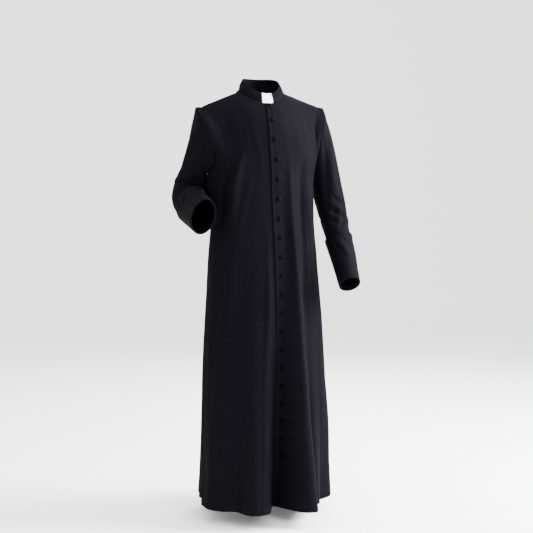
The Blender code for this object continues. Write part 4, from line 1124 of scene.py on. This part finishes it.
def finish_for(kind):
    """The material of a kind, made once, in the colour of the same name."""
    name = f"cassock_{kind}"
    found = bpy.data.materials.get(name)
    return found or MAKERS[kind](name, getattr(bpy.context.scene.cassock_colours, kind)[:])


# ---------------------------------------------------------------- the body's panels
# Shares of a grid's rows or columns that stand closer together, at a seam or an edge.
SEAM_SHARES = (0.0, 0.006, 0.012, 0.020, 0.030)
LAP_SHARES = (0.0, 0.004, 0.008, 0.012, 0.017, 0.023)
HEM_SHARES = (0.0, 0.0015, 0.004, 0.008)
TOP_SHARES = (0.0, 0.005, 0.011, 0.020, 0.032)
LOW_ROWS = 0.72  # the share of a panel's rows that is below the chest
FRONT_COLUMNS = 92
FRONT_ROWS = 250
BACK_COLUMNS = 150
BACK_ROWS = 240
# The shares of a front's columns at its edge, the underlap's edge, the two corners and the side seam.
FRONT_MARKS = (0.0, 0.15, 0.31, 0.52, 1.0)
FLAT_FROM = -12  # from this angle on the right front lies flat, beneath the left one
FLAT_FADE = 6


def panel_rows(count):
    """Levels of a panel's rows, closer together at the hem and the top seams."""
    low = spread(int(count * LOW_ROWS), HEM_SHARES)
    high = spread(count - int(count * LOW_ROWS), (), TOP_SHARES)
    return np.concatenate([low, 1 + high[1:]])[:, None]


def front_angles(level, share):
    """Panel angles across a front, from its edge (share 0) to its side seam (share 1)."""
    under = front_angle(underlap(level), level)
    stops = [-front_angle(front_edge(level), level), under, NECK_CORNER, SHOULDER_CORNER, 90]
    angle = stops[0]
    for i in range(len(FRONT_MARKS) - 1):
        part = (share - FRONT_MARKS[i]) / (FRONT_MARKS[i + 1] - FRONT_MARKS[i])
        angle = angle + np.clip(part, 0, 1) * (stops[i + 1] - stops[i])
    return angle


def body_detail(angle, level, at, table):
    """Creases, seam rolls and puckers of a body panel."""
    turned = wrap(angle)
    to_side = np.abs(np.abs(turned) - 90) * BODY_DEGREE
    to_top = np.clip(2 - level, 0, 1) * TOP_LONG
    high = crease_height(turned, at[..., 2], table, BODY_DEGREE)
    high = high + seam_dip(to_side) + seam_dip(to_top)
    high = high + pucker(to_side, at[..., 2]) + pucker(to_top, turned * BODY_DEGREE)
    calm = step_up(to_top / SEAM_CALM) * step_up(to_side / SEAM_CALM)
    return high + calm * unevenness(turned * BODY_DEGREE, at[..., 2])


def edge_roll(far):
    """A pressed edge: a soft bead on the edge, and the stitched line's groove a little way in."""
    bead = BEAD_HIGH * bell(far - BEAD_AT * EDGE_STITCH, BEAD_WIDE * EDGE_STITCH)
    return bead - GROOVE_DEEP * bell(far - EDGE_STITCH, GROOVE_WIDE)


def left_front_normal(angle, level):
    """The way out of the left front's outer surface."""
    return slope_normal(left_front_point, angle, level, BODY_TURN, NUDGE)


def left_front_cloth(angle, level):
    """The left front's surface, pushed out along its normal by its detail and its rolled edge."""
    at = left_front_point(angle, level)
    out = left_front_normal(angle, np.clip(level, 3 * NUDGE, 2 - 3 * NUDGE))
    far = (angle + front_angle(front_edge(level), level)) * BODY_DEGREE
    high = body_detail(angle, level, at, FRONT_LEFT_CREASES) + edge_roll(far)
    return at + out * high[..., None]


def right_front_cloth(angle, level):
    """The right front's surface, pushed out by its detail where the left front doesn't cover it."""
    at = body_point(angle, level)
    high = body_detail(angle, level, at, FRONT_RIGHT_CREASES)
    bare = 1 - step_up((angle - FLAT_FROM) / FLAT_FADE)
    return at + body_normal(angle, level) * (high * bare)[..., None]


def back_cloth(angle, level):
    """The back's surface, pushed out along its normal by its detail."""
    turned = wrap(angle)
    at = body_point(turned, level)
    high = body_detail(turned, level, at, BACK_CREASES)
    return at + body_normal(turned, level) * high[..., None]


def make_front_left():
    """The left front: its columns run from its edge to the side seam."""
    share = spread(FRONT_COLUMNS, LAP_SHARES, SEAM_SHARES)[None, :]
    level = panel_rows(FRONT_ROWS) + 0 * share
    points = left_front_cloth(front_angles(level, share), level)
    return thicken(grid_mesh("front_left_cloth", points), CLOTH)


def make_front_right():
    """The right front: its columns run from the side seam to its hidden edge, which reaches as far
    beneath the left front as the left one does past the middle."""
    share = spread(FRONT_COLUMNS, (), SEAM_SHARES)[None, :]
    level = panel_rows(FRONT_ROWS) + 0 * share
    reach = -front_angles(level, share)
    longer = front_angle(underlap(level), level) - front_angle(front_edge(level), level)
    reach = reach + longer * np.clip(1 - share / FRONT_MARKS[1], 0, 1)
    points = right_front_cloth(reach[:, ::-1], level)
    return thicken(grid_mesh("front_right_cloth", points), CLOTH)


def make_back():
    """The back: its columns run from the left side seam round to the right one."""
    ends = SEAM_SHARES[:4]
    share = spread(BACK_COLUMNS, ends, ends)[None, :]
    level = panel_rows(BACK_ROWS) + 0 * share
    points = back_cloth(90 + 180 * share + 0 * level, level)
    return thicken(grid_mesh("back_cloth", points), CLOTH)


# ---------------------------------------------------------------- sleeves and cuffs
CAP_SHARES = (0.0, 0.012, 0.026, 0.045)
CAP_ROWS = 34
CAP_START = -0.025  # a cap starts a little inside the armhole, so that no gap shows
TUBE_ROWS = 120
ROUND_STEPS = 112  # columns round a sleeve or a cuff
CAP_ROUND = 0.07  # about the radius of the cap and of the tube, for lengths round them
TUBE_ROUND = 0.05
UNDER_CUFF = 0.006  # the creases end this far inside the cuff, and over what length
CREASES_END = 0.012
CUFF_ROWS = 34
CUFF_INSIDE = 0.3  # how much of a ridge the cuff's hidden inner side follows
FOLD_STEPS = 8  # steps round the cuff's fold and round its rim
RIM_STEPS = 6


def ring_degrees(count):
    """Evenly spaced degrees, once round."""
    return np.arange(count) * (360 / count)


def sleeve_cloth(name, round_it, along):
    """A sleeve's surface, pushed out along its normal by its creases, seam roll and swells."""
    long = arm_frame(ARMS[name])["long"]
    at = sleeve_point(name, round_it, along)
    way = (along - 1) * np.where(along < 1, CAP_LONG, long)
    high = crease_height(np.mod(round_it, 360), way, SLEEVE_CREASES[name], SLEEVE_DEGREE)
    to_cap = np.clip(along, 0, 1) * CAP_LONG
    high = high + seam_dip(to_cap) + pucker(to_cap, np.radians(round_it) * CAP_ROUND)
    swell = unevenness(np.radians(round_it) * TUBE_ROUND, way)
    high = high + step_up(to_cap / SEAM_CALM) * swell
    high = high * (1 - step_up((way - long + CUFF_LONG - UNDER_CUFF) / CREASES_END))
    return at + sleeve_normal(name, round_it, along) * high[..., None]


def make_sleeve(name):
    """One sleeve: rows over the cap and down the tube, and columns round the arm."""
    cap = np.concatenate([[CAP_START], spread(CAP_ROWS, CAP_SHARES)])
    tube = np.linspace(1, 2, TUBE_ROWS + 1)[1:]
    along = np.concatenate([cap, tube])[:, None]
    along, round_it = np.broadcast_arrays(along, ring_degrees(ROUND_STEPS)[None, :])
    points = sleeve_cloth(name, round_it, along)
    flip = ARMS[name]["side"] < 0
    return thicken(grid_mesh(f"sleeve_{name}_cloth", points, tube=True, flip=flip), CLOTH)


def cuff_outline():
    """The cuff's section: how far from the sleeve's end and how far out, from the loose upper edge down
    the outside, round the fold and back up inside."""
    share = np.linspace(1, 0, CUFF_ROWS)
    stand = mix(share**2, LIFT, CUFF_STAND)
    outside = np.stack([CUFF_LONG * share, stand + CUFF_CLOTH], axis=1)
    turn = np.radians(np.linspace(90, 270, FOLD_STEPS + 1))[1:-1]
    middle, r = (CUFF_CLOTH + LIFT - CLOTH) / 2, (CUFF_CLOTH + LIFT + CLOTH) / 2
    fold = np.stack([np.cos(turn) * r, middle + np.sin(turn) * r], axis=1)
    inside = np.stack([CUFF_LONG * share[::-1], stand[::-1]], axis=1)
    rim = np.radians(np.linspace(0, 180, RIM_STEPS + 1))[1:-1]
    half = CUFF_CLOTH / 2
    top = np.stack([CUFF_LONG + np.sin(rim) * half, CUFF_STAND + half - np.cos(rim) * half], axis=1)
    return np.concatenate([outside, fold, [[0.0, -CLOTH]], inside[1:], top])


def make_cuff(name):
    """One cuff: its section carried round the end of the sleeve, as a closed ring."""
    long = arm_frame(ARMS[name])["long"]
    _, end_way, _ = arm_place(arm_frame(ARMS[name]), long)
    round_it = ring_degrees(ROUND_STEPS)
    loops = []
    for back, out in cuff_outline():
        way = np.full_like(round_it, long - max(back, 0.0))
        high = crease_height(round_it, way, CUFF_CREASES[name], SLEEVE_DEGREE)
        if out < CUFF_STAND / 2:
            high = np.maximum(high, 0) * CUFF_INSIDE
        high = high * step_up((CUFF_LONG - back) / CREASES_END) * step_up(back / CREASES_END)
        loops.append(sleeve_tube(name, round_it, way, out + high) + end_way * max(-back, 0.0))
    flip = ARMS[name]["side"] < 0
    return grid_mesh(f"cuff_{name}_cloth", np.array(loops), tube=True, ring=True, flip=flip)


# ---------------------------------------------------------------- collar and tab
COLLAR_COLUMNS = 150
COLLAR_ROWS = 16
COLLAR_LOW_SHARES = (0.0, 0.03, 0.07, 0.12)
COLLAR_TOP_SHARES = (0.0, 0.03, 0.07)
COLLAR_START = (-0.09, -0.045)  # it starts below the seam, inside the neckline, so that no gap shows
COLLAR_GROOVE = 0.0004  # how deep its stitched line is pressed in, and over what width
COLLAR_GROOVE_WIDE = 0.0014
COLLAR_WAVE = 0.0004  # its slow wave: how high, the phase for each metre of seam, and the start
WAVE_RATE = 37
WAVE_START = 0.9
COLLAR_PUCKER = 0.6
TAB_COLUMNS = 60
TAB_ROWS = 24
TAB_SPAN = (-0.10, 0.985)  # where the tab starts and stops on the collar's height


def collar_reach():
    """The angle from the centre front to the collar's end."""
    gap = front_angle(np.array(TAB_WIDE / 2), np.array(2.0))
    return float(gap) * 90 / NECK_CORNER


def collar_cloth(angle, rise):
    """The collar's face, pushed out by its seam, its stitched line and one slow wave, sin by sin."""
    along = np.radians(angle) * NECK_HALF
    low, top = rise * COLLAR_HIGH, (1 - rise) * COLLAR_HIGH
    high = seam_dip(low) + COLLAR_PUCKER * pucker(low, along)
    high = high - COLLAR_GROOVE * bell(top - EDGE_STITCH, COLLAR_GROOVE_WIDE)
    high = high + COLLAR_WAVE * np.sin(along * WAVE_RATE + WAVE_START) * np.sin(np.pi * rise)
    return collar_point(angle, rise) + collar_normal(angle, rise) * high[..., None]


def make_collar():
    """The collar: columns round the neck from one end to the other, and rows up."""
    first = collar_reach()
    angle = (first + (360 - 2 * first) * spread(COLLAR_COLUMNS))[None, :]
    steps = spread(COLLAR_ROWS, COLLAR_LOW_SHARES, COLLAR_TOP_SHARES)
    rise = np.concatenate([COLLAR_START, steps])[:, None]
    angle, rise = np.broadcast_arrays(angle, rise)
    return thicken(grid_mesh("collar_cloth", collar_cloth(angle, rise)), COLLAR_CLOTH)


def make_tab():
    """The tab: a strip bent along the inside of the collar's two ends and the gap between them."""
    reach = np.degrees((TAB_WIDE / 2 + TAB_HIDDEN) / NECK_HALF)
    angle = np.linspace(-reach, reach, TAB_COLUMNS + 1)[None, :]
    angle, rise = np.broadcast_arrays(angle, np.linspace(*TAB_SPAN, TAB_ROWS + 1)[:, None])
    points = collar_point(angle, rise, -COLLAR_CLOTH - 2 * LIFT)
    return thicken(grid_mesh("collar_tab_strip", points), TAB_THICK)


# ---------------------------------------------------------------- sewing
def stitch_row(name, at, ahead, out):
    """Short rounded stitches, one on each given point, along ahead and standing up along out: each is a
    six-sided ring at four places with pinched ends."""
    turn = np.radians(ring_degrees(STITCH_SIDES))[None, :, None]
    aside = unit(np.cross(out, ahead))
    form = np.cos(turn) * aside[:, None] + STITCH_FLAT * np.sin(turn) * out[:, None]
    rings = []
    for share, size in STITCH_RINGS:
        lift = STITCH_LIFT * (1 - (2 * share) ** 2) + STITCH_CLEAR
        centre = at + ahead * share * STITCH_LONG + out * lift
        rings.append(centre[:, None] + STITCH_WIDE / 2 * size * form)
    points = np.stack(rings, axis=1)
    number = np.arange(points[..., 0].size).reshape(points.shape[:3])
    nxt = np.roll(number, -1, axis=2)
    sides = np.stack([number[:, :-1], nxt[:, :-1], nxt[:, 1:], number[:, 1:]], axis=-1).reshape(-1, 4)
    faces = sides.tolist() + number[:, 0, ::-1].tolist() + number[:, -1].tolist()
    return new_mesh(name, points, faces)


def even_steps(line, step):
    """Points, directions and shares spaced evenly along a finely sampled line."""
    far = far_along(line, 0)
    places = np.arange(step / 2, far[-1], step)
    share = np.interp(places, far, np.linspace(0, 1, len(line)))
    at, ahead = (
        np.stack([np.interp(places + more, far, line[:, k]) for k in range(3)], axis=1)
        for more in (0.0, NUDGE)
    )
    return at, unit(ahead - at), share


def surface_row(name, surface, u, v, flip=1.0):
    """Stitches along a line on a surface: the cross product of its slopes stands them up."""
    at, ahead, share = even_steps(surface(u, v), bpy.context.scene.cassock_sizes.stitch_step)
    u_here = np.interp(share, np.linspace(0, 1, len(u)), u)
    v_here = np.interp(share, np.linspace(0, 1, len(v)), v)
    out = slope_normal(surface, u_here, v_here, LINE_TURN, LINE_NUDGE) * flip
    return stitch_row(name, at, ahead, out)


def make_stitching():
    """The rows of stitches on the left front's edge, the collar's top and the cuffs' upper edges."""
    level = np.linspace(*EDGE_LINE, LINE_SAMPLES["edge"])
    edge = front_angle(front_edge(level), level) - EDGE_STITCH / BODY_DEGREE
    rows = [surface_row("stitches_front_edge", left_front_cloth, -edge, level)]
    first = collar_reach() + COLLAR_LINE_START
    angle = np.linspace(first, 360 - first, LINE_SAMPLES["collar"])
    rise = np.full_like(angle, 1 - EDGE_STITCH / COLLAR_HIGH)
    rows.append(surface_row("stitches_collar_top", collar_cloth, angle, rise))
    for name, arm in ARMS.items():
        round_it = np.linspace(0, 360, LINE_SAMPLES["cuff"])
        way = np.full_like(round_it, arm_frame(arm)["long"] - CUFF_LONG + CUFF_STITCH)
        out = CUFF_STAND * CUFF_LINE_STAND + CUFF_CLOTH
        face = lambda u, v, n=name: sleeve_tube(n, u, v, out)
        rows.append(surface_row(f"stitches_cuff_{name}", face, round_it, way, arm["side"]))
    return rows


# ---------------------------------------------------------------- buttons
# A covered dome's section, as shares of the radius and of the height: first its flat back and pinched
# rim, then how blunt and how high up the crown is.
BUTTON_BACK = ((0.0, 0.02), (0.55, 0.0), (0.86, 0.02), (0.965, 0.12), (1.0, 0.22))
CROWN_BLUNT = 0.85
CROWN_FROM = 0.30
CROWN_STEPS = 14
BUTTON_SIDES = 40
SEAT_POINTS = 8  # places round a button where it must clear the cloth
PLACE_SAMPLES = 600


def button_places():
    """Levels down the centre front where the buttons sit."""
    level = np.linspace(2, 0, PLACE_SAMPLES)
    far = far_along(body_point(np.zeros_like(level), level), 0)
    steps = np.linspace(BUTTON_STEP_TOP, BUTTON_STEP_LOW, BUTTONS - 2)
    down = np.concatenate([[FIRST_BUTTON, SECOND_BUTTON], SECOND_BUTTON + np.cumsum(steps)])
    return np.interp(down, far, level)


def button_seats(levels):
    """Every button's foot and its axes, just clear of the cloth beneath the whole button."""
    turn = np.radians(ring_degrees(SEAT_POINTS))
    angle = np.concatenate([[0], BUTTON_R / BODY_DEGREE * np.cos(turn)])[None, :] + 0 * levels[:, None]
    step = np.concatenate([[0], BUTTON_R / BODY_LEVEL * np.sin(turn)])
    around = left_front_cloth(angle, np.clip(levels[:, None] + step, 0, 2))
    out = left_front_normal(0 * levels, levels)
    side = unit(np.cross(UP, out))
    high = np.einsum("bpk,bk->bp", around - around[:, :1], out).max(axis=1) + BUTTON_CLEAR
    return around[:, 0] + out * high[:, None], out, side, np.cross(out, side)


def button_form():
    """The button's section: its back, and a crown with a flattened middle, (cos t to a power, sin t)."""
    turn = np.linspace(0, np.pi / 2, CROWN_STEPS + 1)
    crown = np.stack([np.cos(turn) ** CROWN_BLUNT, mix(np.sin(turn), CROWN_FROM, 1.0)], axis=1)
    return np.concatenate([BUTTON_BACK, crown])


def make_button(number, foot, out, side, up):
    """One button, its section turned round the way out, and the name of the node it stands for."""
    form = button_form()
    turn = np.radians(ring_degrees(BUTTON_SIDES))[:, None]
    ring = np.cos(turn) * side + np.sin(turn) * up
    radius, high = BUTTON_R * np.maximum(form[:, 0], 0.0), BUTTON_HIGH * form[:, 1]
    points = foot + out * high[:, None, None] + radius[:, None, None] * ring
    name = f"button_{number:02d}"
    return grid_mesh(f"{name}_covered", points, tube=True, flip=True), name


def make_buttonholes(levels):
    """Close buttonhole stitches round slits that run from under the buttons away from the edge: each is
    a flat ring, (root of cos t, sin t), thickened into an uneven cord."""
    steps = np.radians(ring_degrees(HOLE_SAMPLES))
    blunt = np.sign(np.cos(steps)) * np.abs(np.cos(steps)) ** 0.5
    along = HOLE_START + HOLE_LONG / 2 * (1 + blunt)
    angle = along[None, :] / BODY_DEGREE + 0 * levels[:, None]
    level = levels[:, None] + HOLE_WIDE * np.sin(steps) / BODY_LEVEL
    at = left_front_cloth(angle, level)
    normal = left_front_normal(angle, level)
    ahead = unit(np.roll(at, -1, axis=1) - np.roll(at, 1, axis=1))
    aside = unit(np.cross(normal, ahead))
    turn = np.radians(ring_degrees(HOLE_SIDES))[None, None, :, None]
    uneven = 1 + HOLE_UNEVEN * np.sin(np.arange(HOLE_SAMPLES) * HOLE_BEAT)
    thick = HOLE_CORD * uneven[None, :, None, None]
    ring = np.cos(turn) * aside[:, :, None] + HOLE_FLAT * np.sin(turn) * normal[:, :, None]
    points = at[:, :, None] + thick * ring
    return [
        grid_mesh(f"buttonhole_{i + 1:02d}", each, tube=True, ring=True, flip=True)
        for i, each in enumerate(points)
    ]


# ---------------------------------------------------------------- settings
def length_setting(name, description, default):
    """A length that a user may change, in metres."""
    return bpy.props.FloatProperty(
        name=name, description=description, default=default, subtype="DISTANCE", unit="LENGTH"
    )


def colour_setting(name, description, default):
    """A colour that a user may change."""
    return bpy.props.FloatVectorProperty(
        name=name, description=description, default=default, subtype="COLOR", size=3
    )


class CassockSizes(bpy.types.PropertyGroup):
    """Sizes of the finish."""

    stitch_step: length_setting("Stitch step", "From one stitch to the next", 0.0042)
    floor_z: length_setting("Floor height", "The stage's floor, below the neck seam", -1.484)
    camera_far: length_setting("Camera distance", "From the garment's middle to the camera", 3.6)
    camera_turn: bpy.props.FloatProperty(
        name="Camera angle",
        description="How far round the camera stands from the front",
        default=math.radians(-20),
        subtype="ANGLE",
        unit="ROTATION",
    )
    lens: bpy.props.FloatProperty(
        name="Lens",
        description="Focal length of the camera in millimetres",
        default=69.3,
        unit="CAMERA",
    )


class CassockColours(bpy.types.PropertyGroup):
    """Colours of the finish."""

    wool: colour_setting("Wool", "The black cloth", (0.0024, 0.0021, 0.0032))
    button: colour_setting("Button", "Button cloth", (0.0009, 0.0008, 0.0013))
    thread: colour_setting("Thread", "Sewing thread", (0.0017, 0.0016, 0.0023))
    tab: colour_setting("Tab", "White collar tab", (0.86, 0.88, 0.89))
    paper: colour_setting("Paper", "Studio paper of the floor", (0.93, 0.93, 0.93))


# ---------------------------------------------------------------- operators
class CASSOCK_OT_fronts(bpy.types.Operator):
    """Makes the two front panels"""

    bl_idname = "cassock.fronts"
    bl_label = "Fronts"

    def execute(self, context):
        left = dress(make_front_left(), finish_for("wool"), "black_wool", "front_left")
        right = dress(make_front_right(), finish_for("wool"), "black_wool", "front_right")
        return {"FINISHED"}


class CASSOCK_OT_back(bpy.types.Operator):
    """Makes the back panel"""

    bl_idname = "cassock.back"
    bl_label = "Back"

    def execute(self, context):
        back = dress(make_back(), finish_for("wool"), "black_wool", "back")
        return {"FINISHED"}


class CASSOCK_OT_sleeves(bpy.types.Operator):
    """Makes the two sleeves and their turned-back cuffs"""

    bl_idname = "cassock.sleeves"
    bl_label = "Sleeves and cuffs"

    def execute(self, context):
        for name in ARMS:
            sleeve = dress(make_sleeve(name), finish_for("wool"), "black_wool", f"sleeve_{name}")
            cuff = dress(make_cuff(name), finish_for("wool"), "black_wool", f"cuff_{name}")
        return {"FINISHED"}


class CASSOCK_OT_collar(bpy.types.Operator):
    """Makes the standing collar and its white tab"""

    bl_idname = "cassock.collar"
    bl_label = "Collar and tab"

    def execute(self, context):
        collar = dress(make_collar(), finish_for("wool"), "black_wool", "collar")
        dress(make_tab(), finish_for("tab"), "white_tab", "collar_tab")
        return {"FINISHED"}


class CASSOCK_OT_buttons(bpy.types.Operator):
    """Makes the covered buttons and their buttonholes"""

    bl_idname = "cassock.buttons"
    bl_label = "Buttons and buttonholes"

    def execute(self, context):
        levels = button_places()
        for index, seat in enumerate(zip(*button_seats(levels))):
            button, node = make_button(index + 1, *seat)
            dress(button, finish_for("button"), "button_cloth", node)
        for hole in make_buttonholes(levels):
            dress(hole, finish_for("thread"), "black_wool")
        return {"FINISHED"}


class CASSOCK_OT_stitching(bpy.types.Operator):
    """Makes the rows of stitches"""

    bl_idname = "cassock.stitching"
    bl_label = "Stitching"

    def execute(self, context):
        for row in make_stitching():
            dress(row, finish_for("thread"), "black_wool")
        return {"FINISHED"}


def aim(obj, at, target):
    """Puts a light or camera at a place and turns it towards another."""
    obj.location = at
    way = mathutils.Vector(np.array(target) - np.array(at))
    obj.rotation_euler = way.to_track_quat("-Z", "Y").to_euler()


def camera_ways(turn):
    """The ways ahead of the camera and to its right, level with the floor."""
    ahead = np.array([-math.sin(turn), math.cos(turn), 0.0])
    return ahead, np.array([math.cos(turn), math.sin(turn), 0.0])


def stage_floor(z, turn):
    """Studio paper: a floor that runs back from the camera and sweeps up into a wall, as a profile of
    (back, up) carried sideways."""
    bend = np.radians(np.linspace(-90, 0, BEND_STEPS + 1))
    sweep = np.stack([WALL_AT + WALL_BEND * np.cos(bend), WALL_BEND * (1 + np.sin(bend))], axis=1)
    line = np.concatenate([[[FLOOR_NEAR, 0.0]], sweep, [[WALL_AT + WALL_BEND, WALL_HIGH]]])
    ahead, aside = camera_ways(turn)
    points = line[:, None, :1] * ahead + line[:, None, 1:] * UP + z * UP
    side = np.linspace(-FLOOR_SIDE, FLOOR_SIDE, FLOOR_COLUMNS + 1)
    points = points + side[None, :, None] * aside
    return grid_mesh("studio_floor", points, flip=True)


class CASSOCK_OT_stage(bpy.types.Operator):
    """Makes the floor, the lights and the camera"""

    bl_idname = "cassock.stage"
    bl_label = "Stage"

    def execute(self, context):
        sizes = context.scene.cassock_sizes
        floor = stage_floor(sizes.floor_z, sizes.camera_turn)
        floor.data.materials.append(finish_for("paper"))
        ahead, aside = camera_ways(sizes.camera_turn)
        for name, right, back, high, power, size, tint in STUDIO_LIGHTS:
            light = bpy.data.lights.new(name, "AREA")
            light.energy, light.size, light.color = power, size, tint
            at = aside * right - ahead * back + UP * high
            aim(place_object(name, light), at, LIGHTS_AIM_Z * UP)
        world = bpy.data.worlds.new("studio")
        world.use_nodes = True
        background = world.node_tree.nodes["Background"]
        background.inputs["Color"].default_value = (1.0, 1.0, 1.0, 1.0)
        background.inputs["Strength"].default_value = WORLD_LIGHT
        context.scene.world = world
        data = bpy.data.cameras.new("camera")
        data.sensor_width, data.lens = SENSOR_WIDE, sizes.lens
        camera = place_object("camera", data)
        at = -ahead * sizes.camera_far + UP * CAMERA_Z
        aim(camera, at, aside * VIEW_ASIDE + UP * VIEW_Z)
        context.scene.camera = camera
        return {"FINISHED"}


class CASSOCK_PT_panel(bpy.types.Panel):
    """Lists the cassock's pieces"""

    bl_idname = "CASSOCK_PT_panel"
    bl_label = "Cassock"
    bl_space_type = "VIEW_3D"
    bl_region_type = "UI"
    bl_category = "Cassock"

    def draw(self, context):
        for group in (context.scene.cassock_sizes, context.scene.cassock_colours):
            for name in group.__annotations__:
                self.layout.prop(group, name)
        for operator in OPERATORS:
            self.layout.operator(operator.bl_idname)


OPERATORS = (
    CASSOCK_OT_fronts,
    CASSOCK_OT_back,
    CASSOCK_OT_sleeves,
    CASSOCK_OT_collar,
    CASSOCK_OT_buttons,
    CASSOCK_OT_stitching,
    CASSOCK_OT_stage,
)
CLASSES = (CassockSizes, CassockColours, *OPERATORS, CASSOCK_PT_panel)


def register():
    """Registers the classes and hangs the settings on the scene."""
    for each in CLASSES:
        bpy.utils.register_class(each)
    bpy.types.Scene.cassock_sizes = bpy.props.PointerProperty(type=CassockSizes)
    bpy.types.Scene.cassock_colours = bpy.props.PointerProperty(type=CassockColours)


def unregister():
    """Takes away what register put in place."""
    del bpy.types.Scene.cassock_colours
    del bpy.types.Scene.cassock_sizes
    for each in reversed(CLASSES):
        bpy.utils.unregister_class(each)


def main():
    """Makes every piece in order."""
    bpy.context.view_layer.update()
    register()
    bpy.ops.cassock.fronts()
    bpy.ops.cassock.back()
    bpy.ops.cassock.sleeves()
    bpy.ops.cassock.collar()
    bpy.ops.cassock.buttons()
    bpy.ops.cassock.stitching()
    bpy.ops.cassock.stage()


if __name__ == "__main__":
    main()
